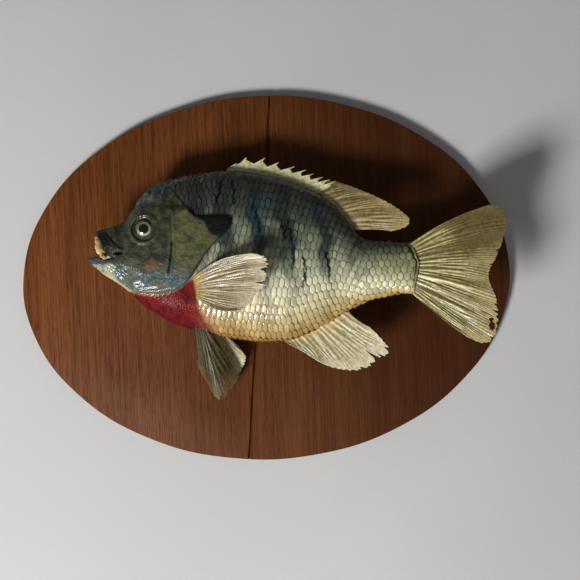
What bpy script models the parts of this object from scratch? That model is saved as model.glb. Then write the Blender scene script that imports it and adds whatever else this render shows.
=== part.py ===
"""A bluegill sunfish mounted on an oval, wood-panel wall board.

The back of the board lies in the plane y = 0, where it meets the wall, and the fish swims in front of
it, towards -Y. +X runs from the snout to the tail and +Z is up. Lengths below are in millimetres, and
MM turns them into metres. A depth is a distance in front of the board's face. A side offset is positive
on the fish's left flank, which faces the room, and negative on the flank that lies against the board.
"""

import math

import bmesh
import bpy
from mathutils import Vector

MM = 0.001
GAP = 0.3  # clearance between two pieces that meet

# Board
BOARD_LENGTH = 305.0
BOARD_HEIGHT = 228.0
BOARD_THICKNESS = 5.5
BOARD_POWER = 1.97  # exponent of the hand-cut oval, where 2 is a true ellipse
BOARD_SEGMENTS = 96
BOARD_EDGE = 0.5
GROOVE_WIDTH = 2.0
GROOVE_DEPTH = 1.5
GROOVE_X = -4.2  # where the panel groove crosses the board's long axis
GROOVE_LEAN = 5.8  # degrees off upright
RECESS_DEPTH = 2.0  # of the pockets in the back of the board
HANGER_Z = 86.0
HANGER_LENGTH = 44.0
HANGER_HEIGHT = 8.0
HANGER_TEETH = 9
HANGER_TOOTH = 1.6
HANGER_SHEET = 0.8
NAIL_RADIUS = 1.6
SCREW_RADIUS = 3.6
SCREW_X = (-30.0, 8.0)
SCREW_Z = 12.0

# Fish: profiles along the body, each a list of (x, value)
BACK_LINE = [
    (-99, 31.5), (-89, 34), (-83, 36), (-77, 43.5), (-72, 51.5), (-65, 57.7), (-55, 61.2), (-40, 63.6),
    (-24, 65.6), (-8, 63.9), (8, 60.2), (24.5, 53.6), (39.4, 45), (52, 29.5), (58, 21.6), (69, 18.4),
    (82, 16.9), (90, 16.4),
]
BELLY_LINE = [
    (-99, 9), (-94, 6.6), (-88, 1.2), (-82, -4), (-76, -11.5), (-68, -18.2), (-60, -23.6), (-52, -27.6),
    (-40, -31), (-19, -36), (3, -38.8), (12, -38.4), (25, -34.5), (37, -28.8), (49, -22), (58, -18.2),
    (68, -15), (80, -13.6), (90, -15),
]
HALF_WIDTH = [
    (-99, 5.5), (-92, 8.2), (-82, 11.4), (-70, 14.4), (-58, 16.8), (-42, 18.8), (-25, 19.6), (-5, 19.6),
    (15, 18.4), (32, 15.6), (46, 12.2), (58, 9.4), (72, 7.2), (90, 4.6),
]
MID_DEPTH = [
    (-108, 27.5), (-92, 24.5), (-74, 21.6), (-55, 19.9), (-30, 19.3), (5, 19.3), (30, 20.6), (48, 23.4),
    (62, 27), (78, 32.6), (92, 37.6), (115, 44), (142, 49.5),
]
ROUNDNESS = [(-99, 2.2), (-70, 2.15), (-45, 1.95), (0, 1.85), (45, 1.85), (70, 2.0), (90, 2.1)]
FLANK_CLEARANCE = 0.35  # between the board and the far flank, where that is pressed flat
WIDEST_SHARE = 0.47  # height of the widest place, as a share of the body's depth
SNOUT_X = -99.0
STEM_END_X = 88.0
STATIONS = 34
AROUND = 24

# Outlines that part the body, seen from the side, as (x, z)
HEAD_OUTLINE = [
    (-58.5, 80), (-58.5, 61.5), (-48.6, 48.7), (-42.5, 40), (-47, 20), (-57, -3), (-75.6, -5.2),
    (-81, -4.6), (-86, -9), (-120, -9), (-120, 80),
]
FACE_OUTLINE = [
    (-120, 45), (-101.5, 36.5), (-97.6, 31.2), (-90.4, 19), (-88, 14.5), (-84.5, 4), (-80.6, -5),
    (-80.6, -12), (-120, -12),
]
COVER_OUTLINE = [
    (-52.7, 39.5), (-47, 41.2), (-41.8, 40.6), (-38.6, 37), (-28, 36.4), (-19, 36.2), (-17.6, 33.2),
    (-20, 28.6), (-26.3, 23), (-32.6, 16.6), (-39, 7.5), (-43, 1.6), (-48.6, -3.8), (-56, -6.4),
    (-64, -7), (-72, -6.2), (-76.5, -3), (-70, 0.5), (-62, 3), (-56.6, 6), (-53.8, 13.6), (-52.6, 26),
]
FLAP_OUTLINE = [
    (-37.6, 60), (-37.6, 36), (-33.5, 33.5), (-31, 28.5), (-26.5, 25.4), (-21.5, 24.6), (-5, 24.6),
    (-5, 60),
]
STEM_OUTLINE = [(56.5, 60), (56.5, 24), (53, 0), (50.2, -24), (50.2, -60), (120, -60), (120, 60)]
COVER_RISE = 0.9
COVER_SHEET = 2.4

# Eyes and mouth
EYE_X = -69.2
EYE_Z = 31.0
EYE_RADIUS = 6.6
EYE_BULGE = 2.1
JAW_RIM = [(-106, 15.7), (-101, 15), (-95, 13.7), (-88, 13.2), (-80, 12.6)]
JAW_KEEL = [(-106, 14.4), (-104.6, 11.9), (-101, 9.6), (-94, 6.6), (-88, 1.2), (-80, -5.6)]
JAW_HALF_WIDTH = [(-106, 1.6), (-104.6, 3.4), (-100, 5.6), (-95, 7), (-88, 9.4), (-80, 11.8)]
JAW_TIP_X = -105.9
LIP_RADIUS = 1.9
LIP_TOP = (-98.8, 30.4)
LIP_CORNER = (-91.2, 16.6)
LIP_HALF_WIDTH = 8.2
LINING_CENTRE = (-97.2, 23.4)
LINING_RADII = (3.4, 4.6, 6.4)

# Fins
FIN_SHEET = 0.9
FOOT_CLEARANCE = 0.75  # from the body's outline to the edge of a fin that stands on it
SPINE_FEET = [-20.5, -16, -11, -4, 3, 9.5, 15.5, 20.5, 25, 29.5]
SPINE_TIPS = [
    (-14.5, 69.4), (-8.3, 72.7), (3, 71.9), (11.1, 68.7), (20.1, 65.6), (27, 63.2), (31.6, 60.6),
    (37, 58.2), (41, 56.6), (44.5, 55.4),
]
WEB_SHARE = 0.62  # how far up its spine each web of skin is fixed behind the tip
SOFT_DORSAL_FEET_X = (32.0, 54.6)
SOFT_DORSAL_TIPS = [
    (47.5, 54.3), (57.9, 49.8), (67.4, 45.2), (76.9, 39.2), (84.4, 33), (87.2, 28.4), (84, 25),
    (76, 23.9),
]
ANAL_FEET_X = (9.5, 48.5)
ANAL_TIPS = [
    (19.9, -44.7), (32.1, -53.6), (38.7, -56.2), (47, -58), (55.3, -57.6), (63.4, -54.6), (62.6, -50.6),
    (70.8, -49.6), (71.8, -44.9), (66.1, -40.1), (67.1, -37.6), (60.6, -32.3),
]
TAIL_ROOT = [(88.6, 15.8), (88.7, 8), (88.8, 0), (88.7, -8), (88.6, -14.4)]
TAIL_TIPS = [
    (136.6, 33.2), (139.4, 29), (139, 22.5), (136.7, 13.3), (132.6, 6), (127.4, -4.9), (128.8, -11.1),
    (131, -18), (131.6, -27), (131.2, -33.5), (129.6, -40), (126.4, -43.4),
]
TAIL_BOW = 4.2
PECTORAL_ROOT = [(-41.4, 1), (-39.6, -4.5), (-40, -10.5)]
PECTORAL_TIPS = [
    (1.2, 11.6), (4.9, 8.2), (2.4, 3), (3.7, -0.1), (0.4, -3.5), (2, -6), (-4.6, -10), (-8.1, -17),
    (-17.6, -18.6),
]
PECTORAL_BOW = 4.0
PECTORAL_LIFT = 13.0
FAR_PECTORAL_SHARE = 0.75  # length of the far fin against the near one
FAR_PECTORAL_TURN = 30.0  # degrees that the far fin is laid further down, where the flank leaves room
FAR_PECTORAL_DROP = 6.0
PELVIC_LEFT_FEET_X = (-42.6, -35.6)
PELVIC_LEFT_TIPS = [
    (-44.2, -52), (-41.6, -58), (-36.9, -67.6), (-33, -74), (-29.5, -74), (-24.6, -69), (-18.6, -60.4),
]
PELVIC_LEFT_DEPTHS = (24.0, 9.0)  # at the foot and at the tip
PELVIC_RIGHT_FEET_X = (-35.4, -27.0)
PELVIC_RIGHT_TIPS = [
    (-20.8, -60), (-18.4, -58.6), (-16, -53.6), (-14.4, -50), (-14.8, -47.2), (-18.4, -42),
]
PELVIC_RIGHT_DEPTHS = (14.5, 6.5)

COLOURS = {  # name: (base colour, roughness, metallic)
    "board": ((0.105, 0.035, 0.015), 0.45, 0.0),
    "metal": ((0.55, 0.53, 0.48), 0.35, 1.0),
    "skin": ((0.09, 0.13, 0.11), 0.35, 0.0),
    "cover": ((0.10, 0.11, 0.04), 0.35, 0.0),
    "flap": ((0.012, 0.013, 0.012), 0.4, 0.0),
    "fin": ((0.42, 0.36, 0.19), 0.45, 0.0),
    "dark_fin": ((0.09, 0.09, 0.04), 0.45, 0.0),
    "jaw": ((0.12, 0.17, 0.16), 0.35, 0.0),
    "lip": ((0.02, 0.022, 0.02), 0.4, 0.0),
    "lining": ((0.62, 0.38, 0.16), 0.5, 0.0),
    "glass": ((0.02, 0.02, 0.018), 0.05, 0.0),
}


def clear_scene():
    """Removes the startup scene's objects."""
    for obj in list(bpy.data.objects):
        bpy.data.objects.remove(obj)


def make_collection(name):
    collection = bpy.data.collections.new(name)
    bpy.context.scene.collection.children.link(collection)
    return collection


def make_material(name):
    """A Principled material from COLOURS, made once."""
    if name in bpy.data.materials:
        return bpy.data.materials[name]
    colour, roughness, metallic = COLOURS[name]
    material = bpy.data.materials.new(name)
    material.use_nodes = True
    shader = material.node_tree.nodes["Principled BSDF"]
    shader.inputs["Base Color"].default_value = (*colour, 1.0)
    shader.inputs["Roughness"].default_value = roughness
    shader.inputs["Metallic"].default_value = metallic
    return material


def add_object(name, mesh, collection, material=None):
    obj = bpy.data.objects.new(name, mesh)
    collection.objects.link(obj)
    if material:
        mesh.materials.append(make_material(material))
        mesh.shade_smooth()
        mesh.set_sharp_from_angle(angle=math.radians(35))
    else:  # a cutter
        obj.hide_render = True
        obj.display_type = "WIRE"
    return obj


def mesh_from(name, bm):
    """Turns a bmesh in millimetres into a mesh in metres."""
    bmesh.ops.scale(bm, vec=(MM, MM, MM), verts=bm.verts)
    bmesh.ops.recalc_face_normals(bm, faces=bm.faces)
    mesh = bpy.data.meshes.new(name)
    bm.to_mesh(mesh)
    bm.free()
    return mesh


def cut(obj, cutter, operation="DIFFERENCE"):
    modifier = obj.modifiers.new(f"{operation.lower()}_{cutter.name}", "BOOLEAN")
    modifier.operation = operation
    modifier.object = cutter


def profile(points, x):
    """A smooth curve through (x, value) points that never overshoots them."""
    if x <= points[0][0]:
        return points[0][1]
    if x >= points[-1][0]:
        return points[-1][1]
    slopes = [(b[1] - a[1]) / (b[0] - a[0]) for a, b in zip(points, points[1:])]
    i = max(k for k in range(len(slopes)) if points[k][0] <= x)
    ends = []
    for k in (i, i + 1):
        before = slopes[k - 1] if k > 0 else slopes[0]
        after = slopes[k] if k < len(slopes) else slopes[-1]
        ends.append(0.0 if before * after <= 0 else 2 * before * after / (before + after))
    (x0, v0), (x1, v1) = points[i], points[i + 1]
    step = x1 - x0
    t = (x - x0) / step
    return (
        v0 * (1 + 2 * t) * (1 - t) ** 2
        + v1 * t * t * (3 - 2 * t)
        + step * (ends[0] * t * (1 - t) ** 2 - ends[1] * t * t * (1 - t))
    )


def walk(points, share):
    """The point at a share of the way along a chain of straight pieces."""
    lengths = [math.dist(a, b) for a, b in zip(points, points[1:])]
    left = share * sum(lengths)
    for a, b, length in zip(points, points[1:], lengths):
        if left <= length:
            return tuple(p + (q - p) * left / length for p, q in zip(a, b))
        left -= length
    return points[-1]


def y_at(depth):
    return -(BOARD_THICKNESS + depth)


def middle_y(x):
    return y_at(profile(MID_DEPTH, x))


def girth(x, grow=0.0):
    """(belly height, widest height, back height, half width) of the body's section at x."""
    top = profile(BACK_LINE, x) + grow
    bottom = profile(BELLY_LINE, x) - grow
    return bottom, bottom + WIDEST_SHARE * (top - bottom), top, profile(HALF_WIDTH, x) + grow


def body_point(x, turn, grow=0.0):
    """A point on the body's section at x. turn runs once round, from the near flank by way of the back."""
    bottom, middle, top, half = girth(x, grow)
    power = 2 / profile(ROUNDNESS, x)
    angle = math.tau * turn
    side = math.copysign(abs(math.cos(angle)) ** power, math.cos(angle)) * half
    rise = math.copysign(abs(math.sin(angle)) ** power, math.sin(angle))
    height = middle + rise * (top - middle if rise > 0 else middle - bottom)
    clear = FLANK_CLEARANCE + max(0.0, -grow)
    side = max(side, clear - profile(MID_DEPTH, x))  # pressed flat against the board
    return Vector((x, middle_y(x) - side, height))


def flank(x, z, grow=0.0):
    """The body's side offset at height z in its section at x."""
    bottom, middle, top, half = girth(x, grow)
    share = (z - middle) / (top - middle) if z > middle else (middle - z) / (middle - bottom)
    power = profile(ROUNDNESS, x)
    return half * max(0.0, 1 - min(1.0, share) ** power) ** (1 / power)


def underside(x, depth):
    """The height of the belly at x, at a depth in front of the board."""
    bottom, middle, top, half = girth(x)
    power = profile(ROUNDNESS, x)
    share = abs(depth - profile(MID_DEPTH, x)) / half
    return middle - (middle - bottom) * (1 - share**power) ** (1 / power)


def loft(rings):
    """A closed bmesh through rings of points, with a flat cap at each end."""
    bm = bmesh.new()
    rows = [[bm.verts.new(point) for point in ring] for ring in rings]
    count = len(rows[0])
    for near, far in zip(rows, rows[1:]):
        for i in range(count):
            j = (i + 1) % count
            bm.faces.new((near[i], near[j], far[j], far[i]))
    bm.faces.new(rows[0])
    bm.faces.new(rows[-1])
    return bm


def make_flesh(name, collection, material=None, grow=0.0):
    """The whole body from snout to tail stem, in one closed loft."""
    rings = []
    for k in range(STATIONS + 1):
        x = SNOUT_X + (STEM_END_X - SNOUT_X) * k / STATIONS
        rings.append([body_point(x, i / AROUND, grow) for i in range(AROUND)])
    return add_object(name, mesh_from(name, loft(rings)), collection, material)


def grown(outline, distance):
    """A closed outline moved outwards by a distance."""
    area = sum(a[0] * b[1] - b[0] * a[1] for a, b in zip(outline, outline[1:] + outline[:1]))
    sign = 1 if area > 0 else -1
    moved = []
    for before, here, after in zip(outline[-1:] + outline[:-1], outline, outline[1:] + outline[:1]):
        first = (Vector(here) - Vector(before)).normalized()
        second = (Vector(after) - Vector(here)).normalized()
        normal = Vector((first.y + second.y, -first.x - second.x)).normalized()
        share = max(0.5, normal.dot(Vector((first.y, -first.x))))
        moved.append(tuple(Vector(here) + normal * (sign * distance / share)))
    return moved


def make_prism(name, outline, depths, collection, material=None):
    """An outline in the plane of X and Z, extruded between two depths in front of the board."""
    bm = bmesh.new()
    front = [bm.verts.new((x, y_at(depths[0]), z)) for x, z in outline]
    face = bm.faces.new(front)
    made = bmesh.ops.extrude_face_region(bm, geom=[face])["geom"]
    moved = [item for item in made if isinstance(item, bmesh.types.BMVert)]
    bmesh.ops.translate(bm, verts=moved, vec=(0, y_at(depths[1]) - y_at(depths[0]), 0))
    return add_object(name, mesh_from(name, bm), collection, material)


def make_ball(name, centre, radii, collection, material=None, segments=20):
    bm = bmesh.new()
    bmesh.ops.create_uvsphere(bm, u_segments=segments, v_segments=segments // 2, radius=1.0)
    bmesh.ops.scale(bm, vec=radii, verts=bm.verts)
    bmesh.ops.translate(bm, vec=centre, verts=bm.verts)
    return add_object(name, mesh_from(name, bm), collection, material)


def make_disc(name, centre, radius, thickness, collection, material=None):
    """A round plate facing the wall, its outer face at centre."""
    bm = bmesh.new()
    bmesh.ops.create_cone(
        bm, cap_ends=True, segments=16, radius1=radius, radius2=radius, depth=thickness
    )
    for vert in bm.verts:
        x, y, z = vert.co
        vert.co = (centre[0] + x, centre[1] - thickness / 2 + z, centre[2] + y)
    return add_object(name, mesh_from(name, bm), collection, material)


def make_board(parts, cutters):
    """The oval panel with its groove, and the pockets in its back."""
    outline = []
    for k in range(BOARD_SEGMENTS):
        angle = math.tau * k / BOARD_SEGMENTS
        cos, sin = math.cos(angle), math.sin(angle)
        outline.append((
            math.copysign(abs(cos) ** (2 / BOARD_POWER), cos) * BOARD_LENGTH / 2,
            math.copysign(abs(sin) ** (2 / BOARD_POWER), sin) * BOARD_HEIGHT / 2,
        ))
    board = make_prism("board", outline, (0, -BOARD_THICKNESS), parts, "board")
    bevel = board.modifiers.new("eased_edge", "BEVEL")
    bevel.width = BOARD_EDGE * MM
    bevel.segments = 1
    bevel.angle_limit = math.radians(60)
    lean = math.tan(math.radians(GROOVE_LEAN))
    reach = BOARD_HEIGHT / 2 + 5
    wide = GROOVE_WIDTH * (GROOVE_DEPTH + 1) / GROOVE_DEPTH / 2
    rings = []
    for z in (-reach, reach):
        x = GROOVE_X + lean * z
        rings.append([(x - wide, y_at(1), z), (x + wide, y_at(1), z), (x, y_at(-GROOVE_DEPTH), z)])
    groove = add_object("groove_cutter", mesh_from("groove_cutter", loft(rings)), cutters)
    cut(board, groove)
    floor = RECESS_DEPTH - BOARD_THICKNESS
    beyond = -BOARD_THICKNESS - 3
    wide, high = HANGER_LENGTH / 2 + 3, HANGER_HEIGHT / 2 + 3
    pocket = [
        (-wide, HANGER_Z - high), (wide, HANGER_Z - high), (wide, HANGER_Z + high),
        (-wide, HANGER_Z + high),
    ]
    cut(board, make_prism("hanger_pocket", pocket, (floor, beyond), cutters))
    for k, x in enumerate(SCREW_X):
        name = f"screw_pocket_{k + 1}"
        cut(board, make_disc(name, (x, 3, SCREW_Z), SCREW_RADIUS + 0.5, 3 + RECESS_DEPTH, cutters))
    return board


def make_back_fittings(parts, cutters):
    """The sawtooth hanger with its two nails, and the heads of the two screws that hold the fish."""
    half, low, top = HANGER_LENGTH / 2, HANGER_Z - HANGER_HEIGHT / 2, HANGER_Z + HANGER_HEIGHT / 2
    pitch = (HANGER_LENGTH - 12) / HANGER_TEETH
    outline = [(-half, top), (-half, low), (-half + 6, low)]
    for k in range(HANGER_TEETH):
        x = -half + 6 + pitch * k
        outline += [(x + pitch / 2, low + HANGER_TOOTH), (x + pitch, low)]
    outline += [(half, low), (half, top)]
    inner = GAP - RECESS_DEPTH
    faces = (-BOARD_THICKNESS - inner, -BOARD_THICKNESS - inner - HANGER_SHEET)
    make_prism("hanger", outline, faces, parts, "metal")
    nail_face = inner + HANGER_SHEET + GAP + 0.55
    for side, name in ((-1, "hanger_nail_left"), (1, "hanger_nail_right")):
        centre = (side * (half - 3), nail_face, HANGER_Z)
        make_disc(name, centre, NAIL_RADIUS, 0.55, parts, "metal")
    for k, x in enumerate(SCREW_X):
        screw = make_disc(
            f"screw_{k + 1}", (x, -0.2, SCREW_Z), SCREW_RADIUS, 1.4, parts, "metal"
        )
        low, high = SCREW_Z - 0.5, SCREW_Z + 0.5
        slot = [(x - 5, low), (x + 5, low), (x + 5, high), (x - 5, high)]
        faces = (-BOARD_THICKNESS + 1.0, -BOARD_THICKNESS - 2)
        cut(screw, make_prism(f"screw_slot_{k + 1}", slot, faces, cutters))


def make_body(parts, cutters):
    """Head, trunk, tail stem, gill covers and their flaps, parted from one body shape by thin cuts."""
    near, far = (90, 25.5), (14.5, -2)  # depths that each flank's cover lies between
    whole = (90, -2)
    core = make_flesh("cover_inside", cutters, grow=COVER_RISE - COVER_SHEET)
    bed = make_flesh("cover_bed", cutters, grow=COVER_RISE - COVER_SHEET - GAP)
    head_prism = make_prism("head_region", HEAD_OUTLINE, whole, cutters)
    behind_head = make_prism("head_gap", grown(HEAD_OUTLINE, GAP), whole, cutters)
    face = make_prism("face_region", FACE_OUTLINE, whole, cutters)
    stem_prism = make_prism("stem_region", STEM_OUTLINE, whole, cutters)
    before_stem = make_prism("stem_gap", grown(STEM_OUTLINE, GAP), whole, cutters)
    flap_gap = make_prism("flap_gap", grown(FLAP_OUTLINE, GAP), whole, cutters)
    flap_prism = make_prism("flap_region", FLAP_OUTLINE, whole, cutters)

    head = make_flesh("head", parts, "skin")
    cut(head, head_prism, "INTERSECT")
    cut(head, face)
    trunk = make_flesh("trunk", parts, "skin")
    cut(trunk, behind_head)
    cut(trunk, before_stem)
    stem = make_flesh("tail_stem", parts, "skin")
    cut(stem, stem_prism, "INTERSECT")
    for side, depths in (("left", near), ("right", far)):
        pocket = make_prism(f"pocket_{side}", grown(COVER_OUTLINE, GAP), depths, cutters)
        cut(pocket, bed)
        cut(head, pocket)
        cut(trunk, pocket)
        region = make_prism(f"cover_region_{side}", COVER_OUTLINE, depths, cutters)
        for name, material in (("gill_cover", "cover"), ("ear_flap", "flap")):
            plate = make_flesh(f"{name}_{side}", parts, material, grow=COVER_RISE)
            cut(plate, region, "INTERSECT")
            cut(plate, core)
            if name == "gill_cover":
                cut(plate, flap_gap)
            else:
                cut(plate, flap_prism, "INTERSECT")
        sign = 1 if side == "left" else -1
        offset = sign * (flank(EYE_X, EYE_Z) + EYE_BULGE - EYE_RADIUS)
        centre = (EYE_X, middle_y(EYE_X) - offset, EYE_Z)
        make_ball(f"eye_{side}", centre, (EYE_RADIUS,) * 3, parts, "glass", segments=18)
        socket = make_ball(f"socket_{side}", centre, (EYE_RADIUS + GAP,) * 3, cutters, segments=18)
        cut(head, socket)


def make_mouth(parts, cutters):
    """The lower jaw, the dark lip round the open mouth, and the pale lining that shows inside it."""
    front = grown(FACE_OUTLINE, -GAP)
    region = make_prism("jaw_region", front, (90, -2), cutters)
    rings = []
    steps, around = 14, 18
    for k in range(steps + 1):
        x = JAW_TIP_X + (-82 - JAW_TIP_X) * k / steps
        rim, keel, half = (profile(p, x) for p in (JAW_RIM, JAW_KEEL, JAW_HALF_WIDTH))
        middle = keel + 0.62 * (rim - keel)
        ring = []
        for i in range(around):
            cos, sin = math.cos(math.tau * i / around), math.sin(math.tau * i / around)
            height = middle + sin * (rim - middle if sin > 0 else middle - keel)
            ring.append((x, middle_y(x) - half * cos, height))
        rings.append(ring)
    jaw = add_object("lower_jaw", mesh_from("lower_jaw", loft(rings)), parts, "jaw")
    cut(jaw, region, "INTERSECT")

    lip = make_lip("upper_jaw", parts, "lip")
    cut(lip, region, "INTERSECT")

    x, z = LINING_CENTRE
    centre = (x, middle_y(x), z)
    lining = make_ball("mouth_lining", centre, LINING_RADII, parts, "lining", segments=14)
    cut(lining, region, "INTERSECT")
    cut(lining, make_lip("lip_gap", cutters, grow=GAP))


def make_lip(name, collection, material=None, grow=0.0):
    """A bar that arches from one corner of the mouth over the snout to the other."""
    rings = []
    steps, around = 22, 8
    for k in range(steps + 1):
        t = 2 * k / steps - 1
        fall = abs(t) ** 1.7
        x = LIP_TOP[0] + (LIP_CORNER[0] - LIP_TOP[0]) * fall
        z = LIP_TOP[1] + (LIP_CORNER[1] - LIP_TOP[1]) * fall
        side = LIP_HALF_WIDTH * math.sin(t * math.pi / 2)
        centre = Vector((x, middle_y(x) + side, z))
        thick = LIP_RADIUS * (1 - 0.45 * abs(t) ** 6) + grow
        across = Vector((0.0, math.sin(t * math.pi / 2), math.cos(t * math.pi / 2)))
        along = Vector((-1.0, 0.0, 0.35)).normalized()
        ring = []
        for i in range(around):
            angle = math.tau * i / around
            ring.append(centre + thick * (math.cos(angle) * along + 0.75 * math.sin(angle) * across))
        rings.append(ring)
    return add_object(name, mesh_from(name, loft(rings)), collection, material)


def make_sheet(name, surface, columns, rows, parts, material, thickness=FIN_SHEET):
    """A fin: an open grid over surface(u, v), given its thickness by Solidify."""
    bm = bmesh.new()
    grid = [[bm.verts.new(surface(u, k / rows)) for k in range(rows + 1)] for u in columns]
    for left, right in zip(grid, grid[1:]):
        for k in range(rows):
            bm.faces.new((left[k], right[k], right[k + 1], left[k + 1]))
    fin = add_object(name, mesh_from(name, bm), parts, material)
    solid = fin.modifiers.new("thickness", "SOLIDIFY")
    solid.thickness = thickness * MM
    solid.offset = 0.0
    solid.use_even_offset = False
    return fin


def evenly(count):
    return [k / count for k in range(count + 1)]


def between(root, tip, share, bow=0.0):
    """A point on the ray from root to tip, (x, z) each, bowed sideways by bow at its middle."""
    x = root[0] + (tip[0] - root[0]) * share
    z = root[1] + (tip[1] - root[1]) * share
    run, rise = tip[0] - root[0], tip[1] - root[1]
    length = math.hypot(run, rise) or 1.0
    side = bow * 4 * share * (1 - share)
    return x - rise / length * side, z + run / length * side


def make_dorsal_fin(parts):
    """The spiny front half, with a web of skin behind each spine, and the soft rear half."""

    def foot(x):
        return x, profile(BACK_LINE, x) + FOOT_CLEARANCE

    feet, tips, columns = [], [], []
    for k, (x, tip) in enumerate(zip(SPINE_FEET, SPINE_TIPS)):
        feet.append(foot(x))
        tips.append(tip)
        if k == len(SPINE_FEET) - 1:
            break
        for share, reach in ((0.12, WEB_SHARE + 0.1), (0.45, WEB_SHARE - 0.02), (0.85, WEB_SHARE)):
            x_foot = x + (SPINE_FEET[k + 1] - x) * share
            full = between(tip, SPINE_TIPS[k + 1], share)
            root = foot(x_foot)
            feet.append(root)
            tips.append(between(root, full, reach))
    columns = range(len(feet))

    def spiny(i, v):
        x, z = between(feet[i], tips[i], v)
        return x, middle_y(x), z

    make_sheet("dorsal_fin_spiny", spiny, columns, 3, parts, "fin")

    def soft(u, v):
        x = SOFT_DORSAL_FEET_X[0] + (SOFT_DORSAL_FEET_X[1] - SOFT_DORSAL_FEET_X[0]) * u
        x, z = between(foot(x), walk(SOFT_DORSAL_TIPS, u), v, 0.8)
        return x, middle_y(x) + 2.5 * v * v, z

    make_sheet("dorsal_fin_soft", soft, evenly(18), 4, parts, "fin")


def make_anal_fin(parts):
    def surface(u, v):
        x = ANAL_FEET_X[0] + (ANAL_FEET_X[1] - ANAL_FEET_X[0]) * u
        root = (x, profile(BELLY_LINE, x) - FOOT_CLEARANCE)
        x, z = between(root, walk(ANAL_TIPS, u), v, -1.0 * u)
        return x, middle_y(x) - 1.5 * v, z

    make_sheet("anal_fin", surface, evenly(24), 4, parts, "fin")


def make_tail_fin(parts):
    def surface(u, v):
        root, tip = walk(TAIL_ROOT, u), walk(TAIL_TIPS, u)
        x, z = between(root, tip, v, TAIL_BOW * (1 - 2 * u))
        cup = 1.4 * math.sin(math.pi * 3 * u) * v  # the dried fin is wavy across its rays
        return x, middle_y(x) + cup - 4 * v * (u - 0.4), z

    make_sheet("tail_fin", surface, evenly(24), 5, parts, "fin")


def make_pectoral_fins(parts):
    """The near fin stands out from the flank, and the far one is pressed back between flank and board."""
    clear = FIN_SHEET / 2 + GAP + 0.15

    def near(u, v):
        root, tip = walk(PECTORAL_ROOT, u), walk(PECTORAL_TIPS, u)
        x, z = between(root, tip, v, PECTORAL_BOW * (1 - 1.6 * u))
        side = flank(x, z) + clear + PECTORAL_LIFT * v**1.3
        return x, middle_y(x) - side, z

    make_sheet("pectoral_fin_left", near, evenly(18), 5, parts, "fin")

    turn = math.radians(FAR_PECTORAL_TURN)
    cos, sin = math.cos(turn) * FAR_PECTORAL_SHARE, math.sin(turn) * FAR_PECTORAL_SHARE
    pivot_x, pivot_z = PECTORAL_ROOT[1]

    def far(u, v):
        root, tip = walk(PECTORAL_ROOT, u), walk(PECTORAL_TIPS, u)
        x, z = between(root, tip, v, PECTORAL_BOW * (1 - 1.6 * u))
        x, z = x - pivot_x, z - pivot_z
        x, z = pivot_x + cos * x + sin * z, pivot_z - FAR_PECTORAL_DROP - sin * x + cos * z
        room = profile(MID_DEPTH, x) - clear
        return x, middle_y(x) + min(room, flank(x, z) + clear + 0.8 * v), z

    make_sheet("pectoral_fin_right", far, evenly(10), 5, parts, "fin")


def make_pelvic_fins(parts):
    """The near fin hangs from the belly, and the far one is fanned out behind it."""
    for name, feet, tips, depths in (
        ("pelvic_fin_left", PELVIC_LEFT_FEET_X, PELVIC_LEFT_TIPS, PELVIC_LEFT_DEPTHS),
        ("pelvic_fin_right", PELVIC_RIGHT_FEET_X, PELVIC_RIGHT_TIPS, PELVIC_RIGHT_DEPTHS),
    ):

        def surface(u, v):
            foot_x = feet[0] + (feet[1] - feet[0]) * u
            foot = (foot_x, underside(foot_x, depths[0]) - FOOT_CLEARANCE)
            x, z = between(foot, walk(tips, u), v)
            wave = math.sin(math.tau * u) * v
            return x, y_at(depths[0] + (depths[1] - depths[0]) * v - wave), z

        make_sheet(name, surface, evenly(12), 5, parts, "dark_fin")


def main():
    clear_scene()
    parts = make_collection("mounted_fish")
    cutters = make_collection("cutters")
    make_board(parts, cutters)
    make_back_fittings(parts, cutters)
    make_body(parts, cutters)
    make_mouth(parts, cutters)
    make_dorsal_fin(parts)
    make_anal_fin(parts)
    make_tail_fin(parts)
    make_pectoral_fins(parts)
    make_pelvic_fins(parts)


main()
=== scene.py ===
"""Looks of a mounted bluegill: one painted skin, its scales, fins, glass eyes and the oval wood board.

Lengths are in millimetres until a mesh is placed. A point on the fish is (x, side, z): side is measured
from the fish's middle line, positive on the left flank, which faces the room.
"""

import logging
import math
import random
from contextlib import contextmanager
from dataclasses import dataclass, field
from enum import Enum
from typing import Callable, Iterator, Sequence

import bpy
import numpy as np
from mathutils import Matrix, Vector, noise


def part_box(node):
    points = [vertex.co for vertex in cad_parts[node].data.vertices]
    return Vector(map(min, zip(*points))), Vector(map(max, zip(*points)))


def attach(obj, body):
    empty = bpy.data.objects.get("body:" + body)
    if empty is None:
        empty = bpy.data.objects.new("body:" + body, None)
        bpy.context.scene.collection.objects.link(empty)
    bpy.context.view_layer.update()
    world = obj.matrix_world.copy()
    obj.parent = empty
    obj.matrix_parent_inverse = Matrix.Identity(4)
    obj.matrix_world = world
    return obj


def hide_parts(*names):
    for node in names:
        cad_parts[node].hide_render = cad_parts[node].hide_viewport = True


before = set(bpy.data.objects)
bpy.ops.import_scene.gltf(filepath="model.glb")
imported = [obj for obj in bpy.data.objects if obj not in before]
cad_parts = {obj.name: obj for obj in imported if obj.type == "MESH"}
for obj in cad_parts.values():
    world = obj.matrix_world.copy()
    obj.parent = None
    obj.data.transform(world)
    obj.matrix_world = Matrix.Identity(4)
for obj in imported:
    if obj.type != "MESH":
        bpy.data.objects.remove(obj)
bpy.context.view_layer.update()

MM = 0.001
LOG = logging.getLogger("mounted_fish")
Array = np.ndarray
Pairs = tuple[tuple[float, float], ...]
Colour = tuple[float, float, float]
Stops = tuple[tuple[float, Colour], ...]


# ---------------------------------------------------------------- numbers


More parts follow.
